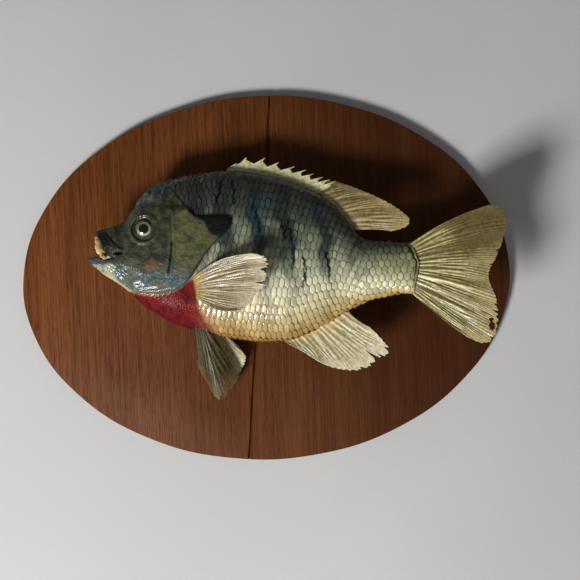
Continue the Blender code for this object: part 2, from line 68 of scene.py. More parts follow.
def ease(value: Array, low: float, high: float) -> Array:
    """A smooth step from 0 at low to 1 at high.

    Args:
        value: The numbers to step.
        low: Where the step starts.
        high: Where it ends, which may be below low.

    Returns:
        Shares from 0 to 1.
    """
    share = np.clip((value - low) / (high - low), 0.0, 1.0)
    return share * share * (3 - 2 * share)


def bell(value: Array, width: float) -> Array:
    """A bump of height 1 at 0 that dies out over a few widths."""
    return np.exp(-((value / width) ** 2))


def grain(points: Array, size: float, seed: float = 0.0) -> Array:
    """Smooth random numbers from about -1 to 1 at points in millimetres.

    Args:
        points: An array of n by 3.
        size: How far apart the lumps are, in millimetres.
        seed: Moves the pattern.

    Returns:
        An array of n.
    """
    shifted = points / size + seed
    return np.array([noise.noise(Vector(p)) for p in shifted]) * 1.6


@dataclass(frozen=True)
class Line:
    """A smooth line through (x, value) points that never overshoots them."""

    points: Pairs

    def __call__(self, x: Array | float) -> Array:
        """The line's value at x."""
        at, value = np.array(self.points, float).T
        slope = np.diff(value) / np.diff(at)
        before, after = np.r_[slope[0], slope], np.r_[slope, slope[-1]]
        both = before * after
        total = np.where(np.abs(before + after) < 1e-12, 1.0, before + after)
        ends = np.where(both > 0, 2 * both / total, 0.0)
        x = np.clip(np.asarray(x, float), at[0], at[-1])
        i = np.clip(np.searchsorted(at, x, side="right") - 1, 0, len(slope) - 1)
        step = at[i + 1] - at[i]
        t = (x - at[i]) / step
        return (
            value[i] * (1 + 2 * t) * (1 - t) ** 2
            + value[i + 1] * t * t * (3 - 2 * t)
            + step * (ends[i] * t * (1 - t) ** 2 - ends[i + 1] * t * t * (1 - t))
        )


@dataclass(frozen=True)
class Path:
    """A chain of (x, z) points in the side view, rounded off by corner cutting."""

    points: Pairs
    closed: bool = False
    rounds: int = 2

    def corners(self) -> Array:
        """The rounded chain as an array of n by 2."""
        chain = np.array(self.points, float)
        for _ in range(self.rounds):
            if self.closed:
                after = np.roll(chain, -1, axis=0)
                chain = np.stack([0.75 * chain + 0.25 * after, 0.25 * chain + 0.75 * after], 1).reshape(-1, 2)
            else:
                a, b = chain[:-1], chain[1:]
                inner = np.stack([0.75 * a + 0.25 * b, 0.25 * a + 0.75 * b], 1).reshape(-1, 2)
                chain = np.vstack([chain[:1], inner[1:-1], chain[-1:]])
        return chain

    def distance(self, x: Array, z: Array) -> Array:
        """How far each point lies from the chain."""
        chain = self.corners()
        if self.closed:
            chain = np.vstack([chain, chain[:1]])
        found = np.full(x.shape, 1e9)
        for a, b in zip(chain, chain[1:]):
            run = b - a
            share = np.clip(((x - a[0]) * run[0] + (z - a[1]) * run[1]) / (run @ run + 1e-12), 0, 1)
            found = np.minimum(found, np.hypot(x - a[0] - share * run[0], z - a[1] - share * run[1]))
        return found

    def inside(self, x: Array, z: Array) -> Array:
        """Distance from the closed chain, positive inside it and negative outside."""
        chain = self.corners()
        within = np.zeros(x.shape, bool)
        for a, b in zip(chain, np.roll(chain, -1, axis=0)):
            if a[1] != b[1]:
                crosses = (z > min(a[1], b[1])) & (z <= max(a[1], b[1]))
                within ^= crosses & (x < a[0] + (z - a[1]) * (b[0] - a[0]) / (b[1] - a[1]))
        return np.where(within, 1.0, -1.0) * self.distance(x, z)

    def walk(self, share: Array) -> Array:
        """The points at shares of the way along the chain."""
        chain = self.corners()
        run = np.r_[0.0, np.cumsum(np.linalg.norm(np.diff(chain, axis=0), axis=1))]
        at = np.asarray(share, float) * run[-1]
        return np.stack([np.interp(at, run, chain[:, 0]), np.interp(at, run, chain[:, 1])], -1)


# ---------------------------------------------------------------- bench


class Bench:
    """Blender's modelling operators, each run on one piece and nothing else."""

    @staticmethod
    def clear() -> None:
        """Leaves edit mode and deselects everything."""
        if bpy.context.mode != "OBJECT":
            bpy.ops.object.mode_set(mode="OBJECT")
        bpy.ops.object.select_all(action="DESELECT")

    @classmethod
    def pick(cls, piece: bpy.types.Object) -> bpy.types.Object:
        """Makes one piece selected and active."""
        cls.clear()
        piece.select_set(True)
        bpy.context.view_layer.objects.active = piece
        return piece

    @classmethod
    @contextmanager
    def editing(cls, piece: bpy.types.Object) -> Iterator[None]:
        """Edit mode on one piece, with all of it selected at the start."""
        cls.pick(piece)
        bpy.ops.object.mode_set(mode="EDIT")
        bpy.ops.mesh.select_all(action="SELECT")
        yield
        bpy.ops.object.mode_set(mode="OBJECT")

    @classmethod
    def added(cls, name: str) -> bpy.types.Object:
        """Names the piece that an operator has just added."""
        piece = bpy.context.active_object
        piece.name = name
        piece.data.name = name
        return piece

    @classmethod
    def grid(cls, name: str, columns: int, rows: int) -> tuple[bpy.types.Object, Array, Array]:
        """Adds a flat grid to be shaped.

        Args:
            name: The piece's name.
            columns: Faces across.
            rows: Faces up.

        Returns:
            The piece, and each vertex's share across and share up.
        """
        cls.clear()
        bpy.ops.mesh.primitive_grid_add(x_subdivisions=columns, y_subdivisions=rows, size=1.0)
        piece = cls.added(name)
        flat = np.zeros(len(piece.data.vertices) * 3)
        piece.data.vertices.foreach_get("co", flat)
        u, v = (flat.reshape(-1, 3)[:, :2] + 0.5).T
        return piece, np.clip(u, 0, 1), np.clip(v, 0, 1)

    @staticmethod
    def place(piece: bpy.types.Object, points: Array) -> None:
        """Moves a mesh's vertices to points given in millimetres."""
        piece.data.vertices.foreach_set("co", (points * MM).astype(np.float32).ravel())
        piece.data.update()

    @classmethod
    def settle(cls, piece: bpy.types.Object) -> bpy.types.Object:
        """Applies a piece's place and its modifiers."""
        cls.pick(piece)
        bpy.ops.object.transform_apply(location=True, rotation=True, scale=True)
        for modifier in list(piece.modifiers):
            bpy.ops.object.modifier_apply(modifier=modifier.name)
        return piece

    @classmethod
    def close(cls, piece: bpy.types.Object, within: float = 0.0005) -> None:
        """Welds a mesh's seams and poles and turns its faces outwards."""
        with cls.editing(piece):
            bpy.ops.mesh.remove_doubles(threshold=within * MM)
            bpy.ops.mesh.normals_make_consistent(inside=False)

    @classmethod
    def smooth(cls, piece: bpy.types.Object, angle: float = 180.0) -> None:
        """Shades a piece smooth, with edges sharper than angle left sharp."""
        cls.pick(piece)
        if angle >= 180:
            bpy.ops.object.shade_smooth()
        else:
            bpy.ops.object.shade_smooth_by_angle(angle=math.radians(angle))

    @classmethod
    def join(cls, name: str, pieces: Sequence[bpy.types.Object]) -> bpy.types.Object:
        """Joins pieces into the first one."""
        cls.clear()
        for piece in pieces:
            piece.select_set(True)
        bpy.context.view_layer.objects.active = pieces[0]
        bpy.ops.object.join()
        return cls.added(name)

    @staticmethod
    def attribute(piece: bpy.types.Object, name: str, values: Array) -> None:
        """Keeps one number for each vertex, for the materials to read."""
        made = piece.data.attributes.new(name, "FLOAT", "POINT")
        made.data.foreach_set("value", np.asarray(values, np.float32))


def deliver(
    piece: bpy.types.Object, finish: bpy.types.Material, replaced: Sequence[str]
) -> bpy.types.Object:
    """Gives a finished piece its material and its place in the frame.

    Args:
        piece: The piece.
        finish: Its material.
        replaced: The CAD nodes that it stands for.

    Returns:
        The piece.
    """
    piece.data.materials.clear()
    piece.data.materials.append(finish)
    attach(piece, "root")
    if replaced:
        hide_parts(*replaced)
    LOG.info("%s: %d faces", piece.name, len(piece.data.polygons))
    return piece


# ---------------------------------------------------------------- shader kit


class Wire:
    """An output socket, or a number, that takes part in arithmetic."""

    def __init__(self, kit: "Kit", socket: bpy.types.NodeSocket) -> None:
        self.kit = kit
        self.socket = socket

    def __add__(self, other: "Wire | float") -> "Wire":
        """Sum."""
        return self.kit.math("ADD", self, other)

    __radd__ = __add__

    def __mul__(self, other: "Wire | float") -> "Wire":
        """Product."""
        return self.kit.math("MULTIPLY", self, other)

    __rmul__ = __mul__

    def __sub__(self, other: "Wire | float") -> "Wire":
        """Difference."""
        return self.kit.math("SUBTRACT", self, other)

    def __rsub__(self, other: "Wire | float") -> "Wire":
        """Difference from a number."""
        return self.kit.math("SUBTRACT", other, self)

    def __pow__(self, other: float) -> "Wire":
        """Power."""
        return self.kit.math("POWER", self, other)

    def step(self, low: float, high: float) -> "Wire":
        """A smooth step from 0 at low to 1 at high."""
        return self.kit.node(
            "ShaderNodeMapRange", {"interpolation_type": "SMOOTHSTEP", "clamp": True},
            {"Value": self, "From Min": low, "From Max": high},
        )


class Kit:
    """Builds one material around a Principled shader."""

    def __init__(self, name: str, roughness: float, **fixed: float) -> None:
        """Makes the material.

        Args:
            name: The material's name.
            roughness: Its roughness, until wear() varies it.
            fixed: Other values of the shader's sockets, with _ for spaces.
        """
        self.material = bpy.data.materials.new(name)
        self.material.use_nodes = True
        self.nodes = self.material.node_tree.nodes
        self.links = self.material.node_tree.links
        self.shader = self.nodes["Principled BSDF"]
        self.shader.inputs["Roughness"].default_value = roughness
        for key, value in fixed.items():
            self.shader.inputs[key.replace("_", " ")].default_value = value

    def feed(self, socket: bpy.types.NodeSocket, value: object) -> None:
        """Sets a socket, or links it to a wire."""
        if isinstance(value, Wire):
            self.links.new(value.socket, socket)
        elif isinstance(value, tuple) and len(value) == 3 and socket.type == "RGBA":
            socket.default_value = (*value, 1.0)
        else:
            socket.default_value = value

    def node(
        self, kind: str, settings: dict | None = None, values: dict | None = None, out: int | str = 0
    ) -> Wire:
        """Adds any node.

        Args:
            kind: The node's type.
            settings: Its properties, set first; "stops" holds a ramp's (place, colour) pairs.
            values: What its sockets hold, by name or number.
            out: The output to return.

        Returns:
            That output.
        """
        made = self.nodes.new(kind)
        settings = dict(settings or {})
        stops = settings.pop("stops", None)
        for key, value in settings.items():
            setattr(made, key, value)
        if stops:
            elements = made.color_ramp.elements
            while len(elements) < len(stops):
                elements.new(0.5)
            for element, (place, colour) in zip(elements, stops):
                element.position = place
                element.color = (*colour, 1.0)
        for key, value in (values or {}).items():
            self.feed(made.inputs[key], value)
        return Wire(self, made.outputs[out])

    def math(self, operation: str, a: Wire | float, b: Wire | float = 0.0) -> Wire:
        """Arithmetic on numbers."""
        return self.node("ShaderNodeMath", {"operation": operation}, {0: a, 1: b})

    def mix(self, a: Wire | Colour, b: Wire | Colour, share: Wire | float, blend: str = "MIX") -> Wire:
        """Mixes two colours by share."""
        return self.node(
            "ShaderNodeMix", {"data_type": "RGBA", "blend_type": blend}, {0: share, 6: a, 7: b}, 2
        )

    def over(self, colour: Wire | Colour, *layers: tuple[Wire | Colour, Wire | float]) -> Wire:
        """Lays (colour, share) layers over a colour, one after another."""
        for tone, share in layers:
            colour = self.mix(colour, tone, share)
        return colour

    def ramp(self, share: Wire, stops: Stops) -> Wire:
        """A colour that changes with share."""
        return self.node("ShaderNodeValToRGB", {"stops": stops}, {"Fac": share})

    def place(self, scale: Colour = (1, 1, 1), turn: Colour = (0, 0, 0), shift: Colour = (0, 0, 0)) -> Wire:
        """Object coordinates in metres, shifted, turned and scaled."""
        return self.node(
            "ShaderNodeMapping", {}, {
                "Vector": self.node("ShaderNodeTexCoord", out="Object"),
                "Location": shift, "Rotation": turn, "Scale": scale,
            },
        )

    def axis(self, which: str) -> Wire:
        """One object coordinate, in millimetres."""
        where = self.node("ShaderNodeSeparateXYZ", {}, {0: self.place()}, which)
        return where * 1000.0

    def noise(self, scale: float, detail: float = 3.0, where: Wire | None = None, rough: float = 0.5) -> Wire:
        """Cloudy noise from about 0.3 to 0.7, with lumps of about a metre over scale."""
        return self.node("ShaderNodeTexNoise", {}, {
            "Vector": where or self.place(), "Scale": scale, "Detail": detail, "Roughness": rough,
        })

    def cells(self, scale: float) -> Wire:
        """Distance from the middle of random cells."""
        return self.node("ShaderNodeTexVoronoi", {}, {"Vector": self.place(), "Scale": scale}, "Distance")

    def mark(self, name: str) -> Wire:
        """A number that the mesh holds for each vertex."""
        return self.node("ShaderNodeAttribute", {"attribute_name": name}, {}, "Fac")

    def wear(self, **varied: Wire) -> None:
        """Feeds the shader's sockets that change over the surface."""
        for key, value in varied.items():
            self.feed(self.shader.inputs[key.replace("_", " ")], value)

    def bump(self, *layers: tuple[Wire, float]) -> None:
        """Raises the surface by layers of (height from 0 to 1, depth in millimetres)."""
        normal = None
        for height, depth in layers:
            values = {"Height": height, "Distance": depth * MM, "Strength": 1.0}
            if normal is not None:
                values["Normal"] = normal
            normal = self.node("ShaderNodeBump", {}, values)
        self.feed(self.shader.inputs["Normal"], normal)


# ---------------------------------------------------------------- the fish's form


class Flank(Enum):
    """A side of the fish: the near one faces the room and the far one the board."""

    NEAR = 1
    FAR = -1


@dataclass(frozen=True)
class FishForm:
    """The body's shape: its outline, thickness and bend, as the CAD solids have it."""

    face_y: float  # the board's front face
    back: Line = Line((
        (-99, 31.5), (-89, 34), (-83, 36), (-77, 43.5), (-72, 51.5), (-65, 57.7), (-55, 61.2),
        (-40, 63.6), (-24, 65.6), (-8, 63.9), (8, 60.2), (24.5, 53.6), (39.4, 45), (52, 29.5),
        (58, 21.6), (69, 18.4), (82, 16.9), (90, 16.4),
    ))
    belly: Line = Line((
        (-99, 9), (-94, 6.6), (-88, 1.2), (-82, -4), (-76, -11.5), (-68, -18.2), (-60, -23.6),
        (-52, -27.6), (-40, -31), (-19, -36), (3, -38.8), (12, -38.4), (25, -34.5), (37, -28.8),
        (49, -22), (58, -18.2), (68, -15), (80, -13.6), (90, -15),
    ))
    half_width: Line = Line((
        (-99, 5.5), (-92, 8.2), (-82, 11.4), (-70, 14.4), (-58, 16.8), (-42, 18.8), (-25, 19.6),
        (-5, 19.6), (15, 18.4), (32, 15.6), (46, 12.2), (58, 9.4), (72, 7.0), (80, 5.4), (88, 3.2), (90, 2.6),
    ))
    middle: Line = Line((
        (-108, 27.5), (-92, 24.5), (-74, 21.6), (-55, 19.9), (-30, 19.3), (5, 19.3), (30, 20.6),
        (48, 23.4), (62, 27), (78, 32.6), (92, 37.6), (115, 44), (142, 49.5),
    ))
    roundness: Line = Line(((-99, 2.2), (-70, 2.15), (-45, 1.95), (0, 1.85), (45, 1.85), (70, 2.0), (90, 2.1)))
    widest_share: float = 0.47
    flank_gap: float = 0.35

    def girth(self, x: Array, grow: Array | float = 0.0) -> tuple[Array, Array, Array, Array]:
        """Belly height, widest height, back height and half width of the section at x."""
        top = self.back(x) + grow
        bottom = self.belly(x) - grow
        return bottom, bottom + self.widest_share * (top - bottom), top, self.half_width(x) + grow

    def section(self, x: Array, turn: Array, grow: Array | float = 0.0) -> Array:
        """Points on the body.

        Args:
            x: Where each section is.
            turn: Once round from the near flank, by way of the back, is 1.
            grow: How far outside the CAD surface the point lies.

        Returns:
            Points (x, side, z).
        """
        bottom, middle, top, half = self.girth(x, grow)
        power = 2 / self.roundness(x)
        angle = math.tau * turn
        cos, sin = np.cos(angle), np.sin(angle)
        side = np.sign(cos) * np.abs(cos) ** power * half
        rise = np.sign(sin) * np.abs(sin) ** power
        z = middle + rise * np.where(rise > 0, top - middle, middle - bottom)
        clear = self.flank_gap + np.maximum(0.0, -np.asarray(grow))
        side = np.maximum(side, clear - self.middle(x))
        return np.stack(np.broadcast_arrays(x, side, z), -1)

    def flank(self, x: Array, z: Array) -> Array:
        """The side offset of the near flank at x and z."""
        bottom, middle, top, half = self.girth(x)
        share = np.where(z > middle, (z - middle) / (top - middle), (middle - z) / (middle - bottom))
        power = self.roundness(x)
        return half * np.maximum(0.0, 1 - np.minimum(1.0, share) ** power) ** (1 / power)

    def underside(self, x: Array, depth: float) -> Array:
        """The belly's height at x, at a depth in front of the board."""
        bottom, middle, _, half = self.girth(x)
        power = self.roundness(x)
        share = np.abs(depth - self.middle(x)) / half
        return middle - (middle - bottom) * (1 - share**power) ** (1 / power)

    def world(self, points: Array) -> Array:
        """Points (x, side, z) as (x, y, z), still in millimetres."""
        x, side, z = np.moveaxis(points, -1, 0)
        return np.stack([x, self.face_y - self.middle(x) - side, z], -1)

    def height(self, x: Array, z: Array) -> Array:
        """0 at the belly line and 1 at the back line."""
        bottom, top = self.belly(x), self.back(x)
        return np.clip((z - bottom) / (top - bottom), 0, 1)


@dataclass(frozen=True)
class Marks:
    """Where the skin changes, in the side view. Skin and scales share it, so that their paint agrees."""

    form: FishForm
    head: Path = Path((
        (-58.5, 61.5), (-53.5, 55), (-48.6, 48.7), (-44.5, 43.5), (-41.5, 40.2), (-38.4, 36.9), (-30, 36.6),
        (-21, 36.2), (-18.2, 35.8), (-17.7, 33.2), (-20, 28.6), (-26.3, 23), (-32.6, 16.6), (-39, 7.5),
        (-43, 1.6), (-48.6, -3.8), (-56, -6.4), (-64, -7), (-72, -6.2), (-79, -4.6), (-86, -9),
        (-120, -9), (-120, 80), (-58.5, 80),
    ), closed=True, rounds=1)
    flap: Path = Path((
        (-39.5, 38.4), (-38.2, 36.6), (-18.6, 36.2), (-17.2, 33), (-20, 28), (-25.4, 24.6), (-30, 25.6),
        (-32.2, 29.5), (-33.4, 33.4), (-37, 35),
    ), closed=True, rounds=1)
    preopercle: Path = Path(((-53.4, 40), (-52.6, 32), (-52.6, 23.6), (-53.8, 13.6), (-55.6, 4.6)))
    opercle: Path = Path((
        (-52.8, 40), (-44, 41), (-38, 36.5), (-33, 33.4), (-30.5, 25.6), (-25, 23), (-33, 14.5), (-41, 5),
        (-49, 0), (-55.4, 3),
    ), closed=True)
    maxilla: Path = Path((
        (-90.0, 27.8), (-87.2, 23.2), (-83.4, 20.6), (-81.6, 19.2), (-86.6, 17.0), (-89.3, 14.8),
        (-90.4, 18.2), (-90.2, 23.0),
    ), closed=True)
    throat: Path = Path((
        (-80, -5.4), (-72, -8.0), (-61, -8.2), (-52, -6.4), (-45.5, -1.6), (-41.4, 1.0), (-40.4, -6),
        (-40.0, -14), (-38.6, -22), (-33.6, -30), (-30, -42), (-84, -42),
    ), closed=True)
    jaw: Path = Path((
        (-108, 18), (-100, 16.4), (-93, 13.8), (-88, 11.6), (-86, 8.5), (-87, 3.0), (-90, -1), (-110, -4),
    ), closed=True)
    jaw_top: Path = Path((
        (-110, 12.2), (-104.5, 12.5), (-98, 11.4), (-93.4, 12.0), (-88.0, 12.6), (-86, 22), (-110, 22),
    ), closed=True, rounds=1)
    lip_band: Path = Path((
        (-100.5, 29.5), (-99.5, 33), (-92.7, 32.8), (-88.8, 27.5), (-89.4, 21.6), (-92.2, 17.4), (-95, 17.4),
    ), closed=True, rounds=1)
    # A painted highlight runs along this line on the upper lip.
    gleam: Path = Path(((-94.2, 32.6), (-92.0, 30.8), (-89.4, 28.0)))
    knobs: Path = Path(((-83.4, 11.0), (-78.6, 9.2), (-73.4, 7.4), (-69.6, 4.6)))
    chin: Path = Path(((-105, 12.0), (-98.3, 7.4), (-92, 4.6), (-88, 1.4), (-81.4, -4.0), (-76, -8.4)))
    cracks: tuple[Path, ...] = (
        Path(((11.4, 29.4), (12.6, 25.0), (12.2, 19.6))),
        Path(((13.8, 30.4), (15.4, 25.0), (17.2, 18.6), (18.0, 12.4), (16.6, 8.0), (15.4, 4.6))),
        Path(((22.4, 10.4), (23.6, 5.6), (24.2, 0.4), (22.0, -6.6))),
        Path(((36.4, 12.6), (37.2, 6.4), (37.8, -1.0))),
        Path(((-6.0, 42.6), (-4.2, 37.0), (-2.2, 31.4), (-1.4, 26.4))),
        Path(((-17.6, 56.0), (-16.2, 49.6), (-15.4, 43.4))),
        Path(((-24.6, 57.0), (-24.0, 50.4), (-26.8, 45.6))),
    )
    tail_crack: Path = Path((
        (83.6, 17.6), (84.6, 14.4), (86.4, 10.9), (87.0, 7.6), (88.6, 4.0), (87.7, 0.2), (86.9, -4.5),
        (85.3, -9.6),
    ), rounds=1)
    bars: tuple[tuple[float, float, float], ...] = (  # x, width, strength
        (-38, 7.0, 0.9), (-22.5, 6.6, 0.85), (-3.8, 4.4, 1.0), (13.6, 4.8, 1.0), (35.0, 4.8, 0.85),
        (51.0, 5.0, 0.45),
    )
    pit: tuple[float, float] = (-38.4, 40.6)
    knob: tuple[float, float] = (-44.4, 40.2)
    eye: tuple[float, float] = (-69.2, 31.0)
    nostrils: Pairs = ((-86.4, 32.0), (-83.0, 33.4))

    def step(self, x: Array, z: Array) -> Array:
        """How far inside the head's outline a point lies."""
        return self.head.inside(x, z)

    @staticmethod
    def bent(x: Array, z: Array) -> Array:
        """x shifted from side to side up the flank, so that a crack runs in and out between the scales."""
        return x + 0.9 * grain(np.stack([z, z * 0, z * 0 + x // 12], -1), 2.4, 31.0) + 0.5 * np.sin(z * 1.35)

    def bar(self, x: Array, z: Array) -> Array:
        """The dark upright bars, from 0 to 1."""
        lean = x + 0.06 * (z - 30) + 1.6 * np.sin(z * 0.21) + 0.8 * np.sin(z * 0.53 + 1)
        found = np.zeros(x.shape)
        for at, width, depth in self.bars:
            found = np.maximum(found, depth * bell(lean - at, width))
        return found

    def measure(self, x: Array, z: Array) -> dict[str, Array]:
        """Every marking, from 0 to 1, at points of the side view."""
        inside = self.step(x, z)
        eye = np.hypot(x - self.eye[0], z - self.eye[1])
        rust = np.hypot((x + 66.0) / 7.0, (z - 9.5) / 3.6)
        edge = self.head.distance(x, z) * np.where(z > 41, 9.0, 1.0)
        return {
            "height": self.form.height(x, z),
            "bar": self.bar(x, z),
            "head": ease(inside, -0.2, 0.6),
            "flap": ease(self.flap.inside(x, z), -0.7, 0.5),
            "opercle": ease(self.opercle.inside(x, z), -2.5, 2.5),
            "throat": ease(self.throat.inside(x, z), -3.4, 1.2) * ease(inside, 0.3, -0.3),
            "jaw": ease(self.jaw.inside(x, z), -0.8, 1.8),
            "jaw_top": ease(self.jaw_top.inside(x, z), -0.5, 0.5),
            "chin": bell(self.chin.distance(x, z), 1.5),
            "lip_band": ease(self.lip_band.inside(x, z), -0.7, 0.5),
            "gleam": bell(self.gleam.distance(x, z), 0.28),
            "knob_row": bell(self.knobs.distance(x, z), 1.0) * (0.5 + 0.5 * np.cos(x * 3.9)),
            "stump": ease(x, 84.5, 87.5),
            "pale_knob": bell(np.hypot(x - self.knob[0], z - self.knob[1]), 1.9),
            "rust": ease(rust, 1.3, 0.3),
            # A painted highlight on the eyelid's ridge, strongest on its lower front side.
            "eyelid": bell(eye - 8.2, 0.5) * (0.35 + 0.65 * ease(x + z * 0.6, -44, -54)),
            # edge: where a painted shade line runs along the gill cover's edge.
            "edge": bell(edge, 0.55) * ease(x, -80, -74),
        }

    def mark(self, piece: bpy.types.Object, x: Array, z: Array) -> None:
        """Stores the markings on a mesh, one number for each vertex."""
        for name, values in self.measure(x, z).items():
            Bench.attribute(piece, name, values)


# ---------------------------------------------------------------- the skin


@dataclass
class Skin:
    """One closed skin from the throat, out over the lips and back to the tail's root."""

    form: FishForm
    marks: Marks
    near_columns: int = 150
    far_columns: int = 74
    coat_depth: float = 0.5
    face_end: float = -80.0
    mouth_middle: tuple[float, float, float] = (-95.0, 0.0, 20.5)
    # share round the mouth from its under side (-0.25) to its top (0.25): x, side, z
    rim: tuple[tuple[float, ...], ...] = (
        (-0.25, -105.0, 0.0, 15.0), (-0.19, -102.4, 3.7, 15.6), (-0.13, -98.0, 5.7, 15.5),
        (-0.07, -93.4, 7.0, 15.0), (0.0, -90.2, 7.7, 15.2), (0.03, -91.8, 7.6, 17.4),
        (0.08, -94.2, 7.0, 21.4), (0.14, -96.6, 5.6, 26.2), (0.2, -98.2, 3.2, 29.4), (0.25, -98.8, 0.0, 30.6),
    )
    cheek: tuple[tuple[float, ...], ...] = (
        (-0.25, -97.6, 0.0, 8.0), (-0.19, -96.4, 4.6, 7.4), (-0.13, -92.6, 8.2, 8.2), (-0.07, -88.6, 9.8, 10.8),
        (0.0, -86.0, 10.3, 15.4), (0.08, -87.4, 9.4, 22.8), (0.14, -88.6, 7.6, 28.4), (0.2, -89.4, 4.6, 32.4),
        (0.25, -89.6, 0.0, 33.9),
    )

    def turns(self) -> Array:
        """Shares round the body from the belly and back to it, closer together on the near flank."""
        fine = np.linspace(-0.25, 0.25, 400)
        across, up = 19 * np.cos(math.tau * fine), 50 * np.sin(math.tau * fine)
        run = np.r_[0.0, np.cumsum(np.hypot(np.diff(across), np.diff(up)))]
        near = np.interp(np.linspace(0, run[-1], self.near_columns + 1), run, fine)
        far = 0.5 - np.interp(np.linspace(run[-1], 0, self.far_columns + 1), run, fine)
        return np.r_[near, far[1:]]

    def around(self, table: tuple[tuple[float, ...], ...], turns: Array) -> Array:
        """A ring (x, side, z) through a table of the near half, mirrored on the far half."""
        near = turns <= 0.25
        share = np.where(near, turns, 0.5 - turns)
        columns = np.array(table).T
        x, side, z = (Line(tuple(zip(columns[0], column)))(share) for column in columns[1:])
        return np.stack([x, np.where(near, side, -side), z], -1)

    def rings(self, turns: Array) -> Array:
        """All the rings of the undisplaced skin, from the throat to the tail."""
        rim = self.around(self.rim, turns)
        middle = np.array(self.mouth_middle)
        outward = rim - middle
        outward /= np.linalg.norm(outward, axis=1)[:, None]
        lip = rim + outward * 0.9 + (0.5, 0, 0)
        knots = [rim, lip, self.around(self.cheek, turns)]
        knots += [self.form.section(np.full(turns.shape, self.face_end + d), turns) for d in (0.0, 9.0)]
        at = np.array([0.0, 1.4, 12.0, 21.0, 30.0])
        inner = [np.broadcast_to(np.array((-84.0, 0.0, 16.0)), rim.shape)]
        for share, back in ((0.5, 9.5), (0.68, 7.0), (0.8, 4.4), (0.88, 2.4), (0.94, 1.1), (0.98, 0.3)):
            inner.append(middle + (rim - middle) * share + (back, 0, 0))
        face = [self.between(knots, at, place) for place in self.face_places()]
        body = [self.behind(x, turns) for x in self.stations()]
        end = []
        for x, share in ((88.9, 0.94), (89.2, 0.8), (89.4, 0.6), (89.6, 0.35), (89.7, 0.15), (89.8, 0.0)):
            ring = self.behind(x, turns)
            centre = np.c_[ring[:, 0], np.zeros(len(ring)), np.full(len(ring), 0.8)]
            ring = centre + (ring - centre) * (1.0, share, 0.0 if share == 0 else 0.94 + 0.06 * share)
            end.append(ring)
        return np.array(inner + face + body + end)

    def behind(self, x: float, turns: Array) -> Array:
        """A ring of the body, which bends near the tail so that the last ones follow the crack there."""
        plain = self.form.section(np.full(turns.shape, x), turns)
        crack = self.marks.tail_crack.corners()
        last = np.interp(-plain[:, 2], -crack[:, 1], crack[:, 0]) + 1.1
        return self.form.section(x + (last - 88.6) * float(ease(x, 74.0, 88.6)), turns)

    @staticmethod
    def face_places() -> Array:
        """Where the rings of the face lie between the rim and the body."""
        return np.r_[np.linspace(0, 1.4, 5), np.linspace(1.9, 20.5, 44)]

    @staticmethod
    def stations() -> Array:
        """Where the body's rings stand: close together on the head, and further apart under the scales."""
        stretches = ((-80, -38, 92), (-37, 56, 80), (57, 82, 26), (82.4, 88.6, 18))
        return np.concatenate([np.linspace(*stretch) for stretch in stretches])

    @staticmethod
    def between(knots: list[Array], at: Array, place: float) -> Array:
        """A ring at a place between the knots, on smooth curves through them."""
        i = int(np.clip(np.searchsorted(at, place, side="right") - 1, 0, len(at) - 2))
        step = at[i + 1] - at[i]
        t = (place - at[i]) / step

        def slope(k: int) -> Array:
            """How fast the ring moves at knot k."""
            low, high = max(0, k - 1), min(len(at) - 1, k + 1)
            return (knots[high] - knots[low]) / (at[high] - at[low])

        return (
            knots[i] * (1 + 2 * t) * (1 - t) ** 2
            + knots[i + 1] * t * t * (3 - 2 * t)
            + step * (slope(i) * t * (1 - t) ** 2 - slope(i + 1) * t * t * (1 - t))
        )

    def relief(self, points: Array, inner: Array) -> tuple[Array, Array]:
        """How far the skin stands out from the plain form, and how much painted shade it gets in grooves, pits
        and cracks.

        Args:
            points: Points (x, side, z), n by 3.
            inner: Whether each one is inside the mouth.

        Returns:
            Height in millimetres, and a share of painted shade from 0 to 1, for grooves, pits and cracks.
        """
        marks = self.marks
        x, side, z = points.T
        inside = marks.step(x, z)
        flank = np.abs(side) > 2.0
        below = ease(z, 45, 40) * ease(x, -84, -76) * flank
        lift = ease(inside, 0.0, 0.9) * (1.15 - 0.75 * ease(inside, 3, 20)) * below
        outside = bell(inside, 0.7) * (inside < 0) * below
        scaled = ease(inside, 0.4, -0.4)
        rise = lift - 0.35 * outside - self.coat_depth * scaled
        flap = ease(marks.flap.inside(x, z), -0.3, 0.4) * flank
        rise += 0.35 * flap
        groove = np.abs(marks.preopercle.distance(x, z) + 0.12 * grain(points, 2.0, 21.0))
        split = (0.15 + 0.85 * ease(z, 25.5, 21.0)) * ease(z, 2.5, 6.0)
        rise += (-0.95 * split * bell(groove, 0.5) + 0.4 * bell(groove - 1.5, 0.8) * (x > -54.5)) * flank
        pit = np.hypot((x - marks.pit[0]) / 1.3, z - marks.pit[1])
        knob = np.hypot((x - marks.knob[0]) / 1.5, z - marks.knob[1])
        rise += (-1.9 * bell(pit, 1.5) + 0.8 * bell(knob, 1.2)) * flank
        plate = marks.maxilla.inside(x, z)
        rise += 0.75 * ease(plate, -0.2, 0.7) * flank
        corner = np.hypot((x + 84.8) / 2.6, (z - 17.6) / 1.0)
        rise -= 1.6 * ease(corner, 1.3, 0.3) * flank
        eye = np.hypot(x - marks.eye[0], z - marks.eye[1])
        rise += (0.45 * bell(eye - 8.3, 0.9) - 1.2 * ease(eye, 8.0, 6.3) - 0.2 * bell(eye - 10.2, 0.9)) * flank
        rise += 0.55 * bell(marks.knobs.distance(x, z), 0.9) * (0.5 + 0.5 * np.cos(x * 3.9)) * flank
        for at in marks.nostrils:
            gap = np.hypot(x - at[0], z - at[1])
            rise += (0.3 * bell(gap - 1.1, 0.4) - 0.9 * bell(gap, 0.6)) * flank
        cheek = ease(inside, 2, 8) * flank
        lumps = 0.28 * grain(points, 7.0) + 0.16 * grain(points, 2.6, 5.0) + 0.11 * grain(points, 1.15, 8.0)
        rise += cheek * lumps
        nape = ease(z, 44, 50) * ease(x, -52, -58)
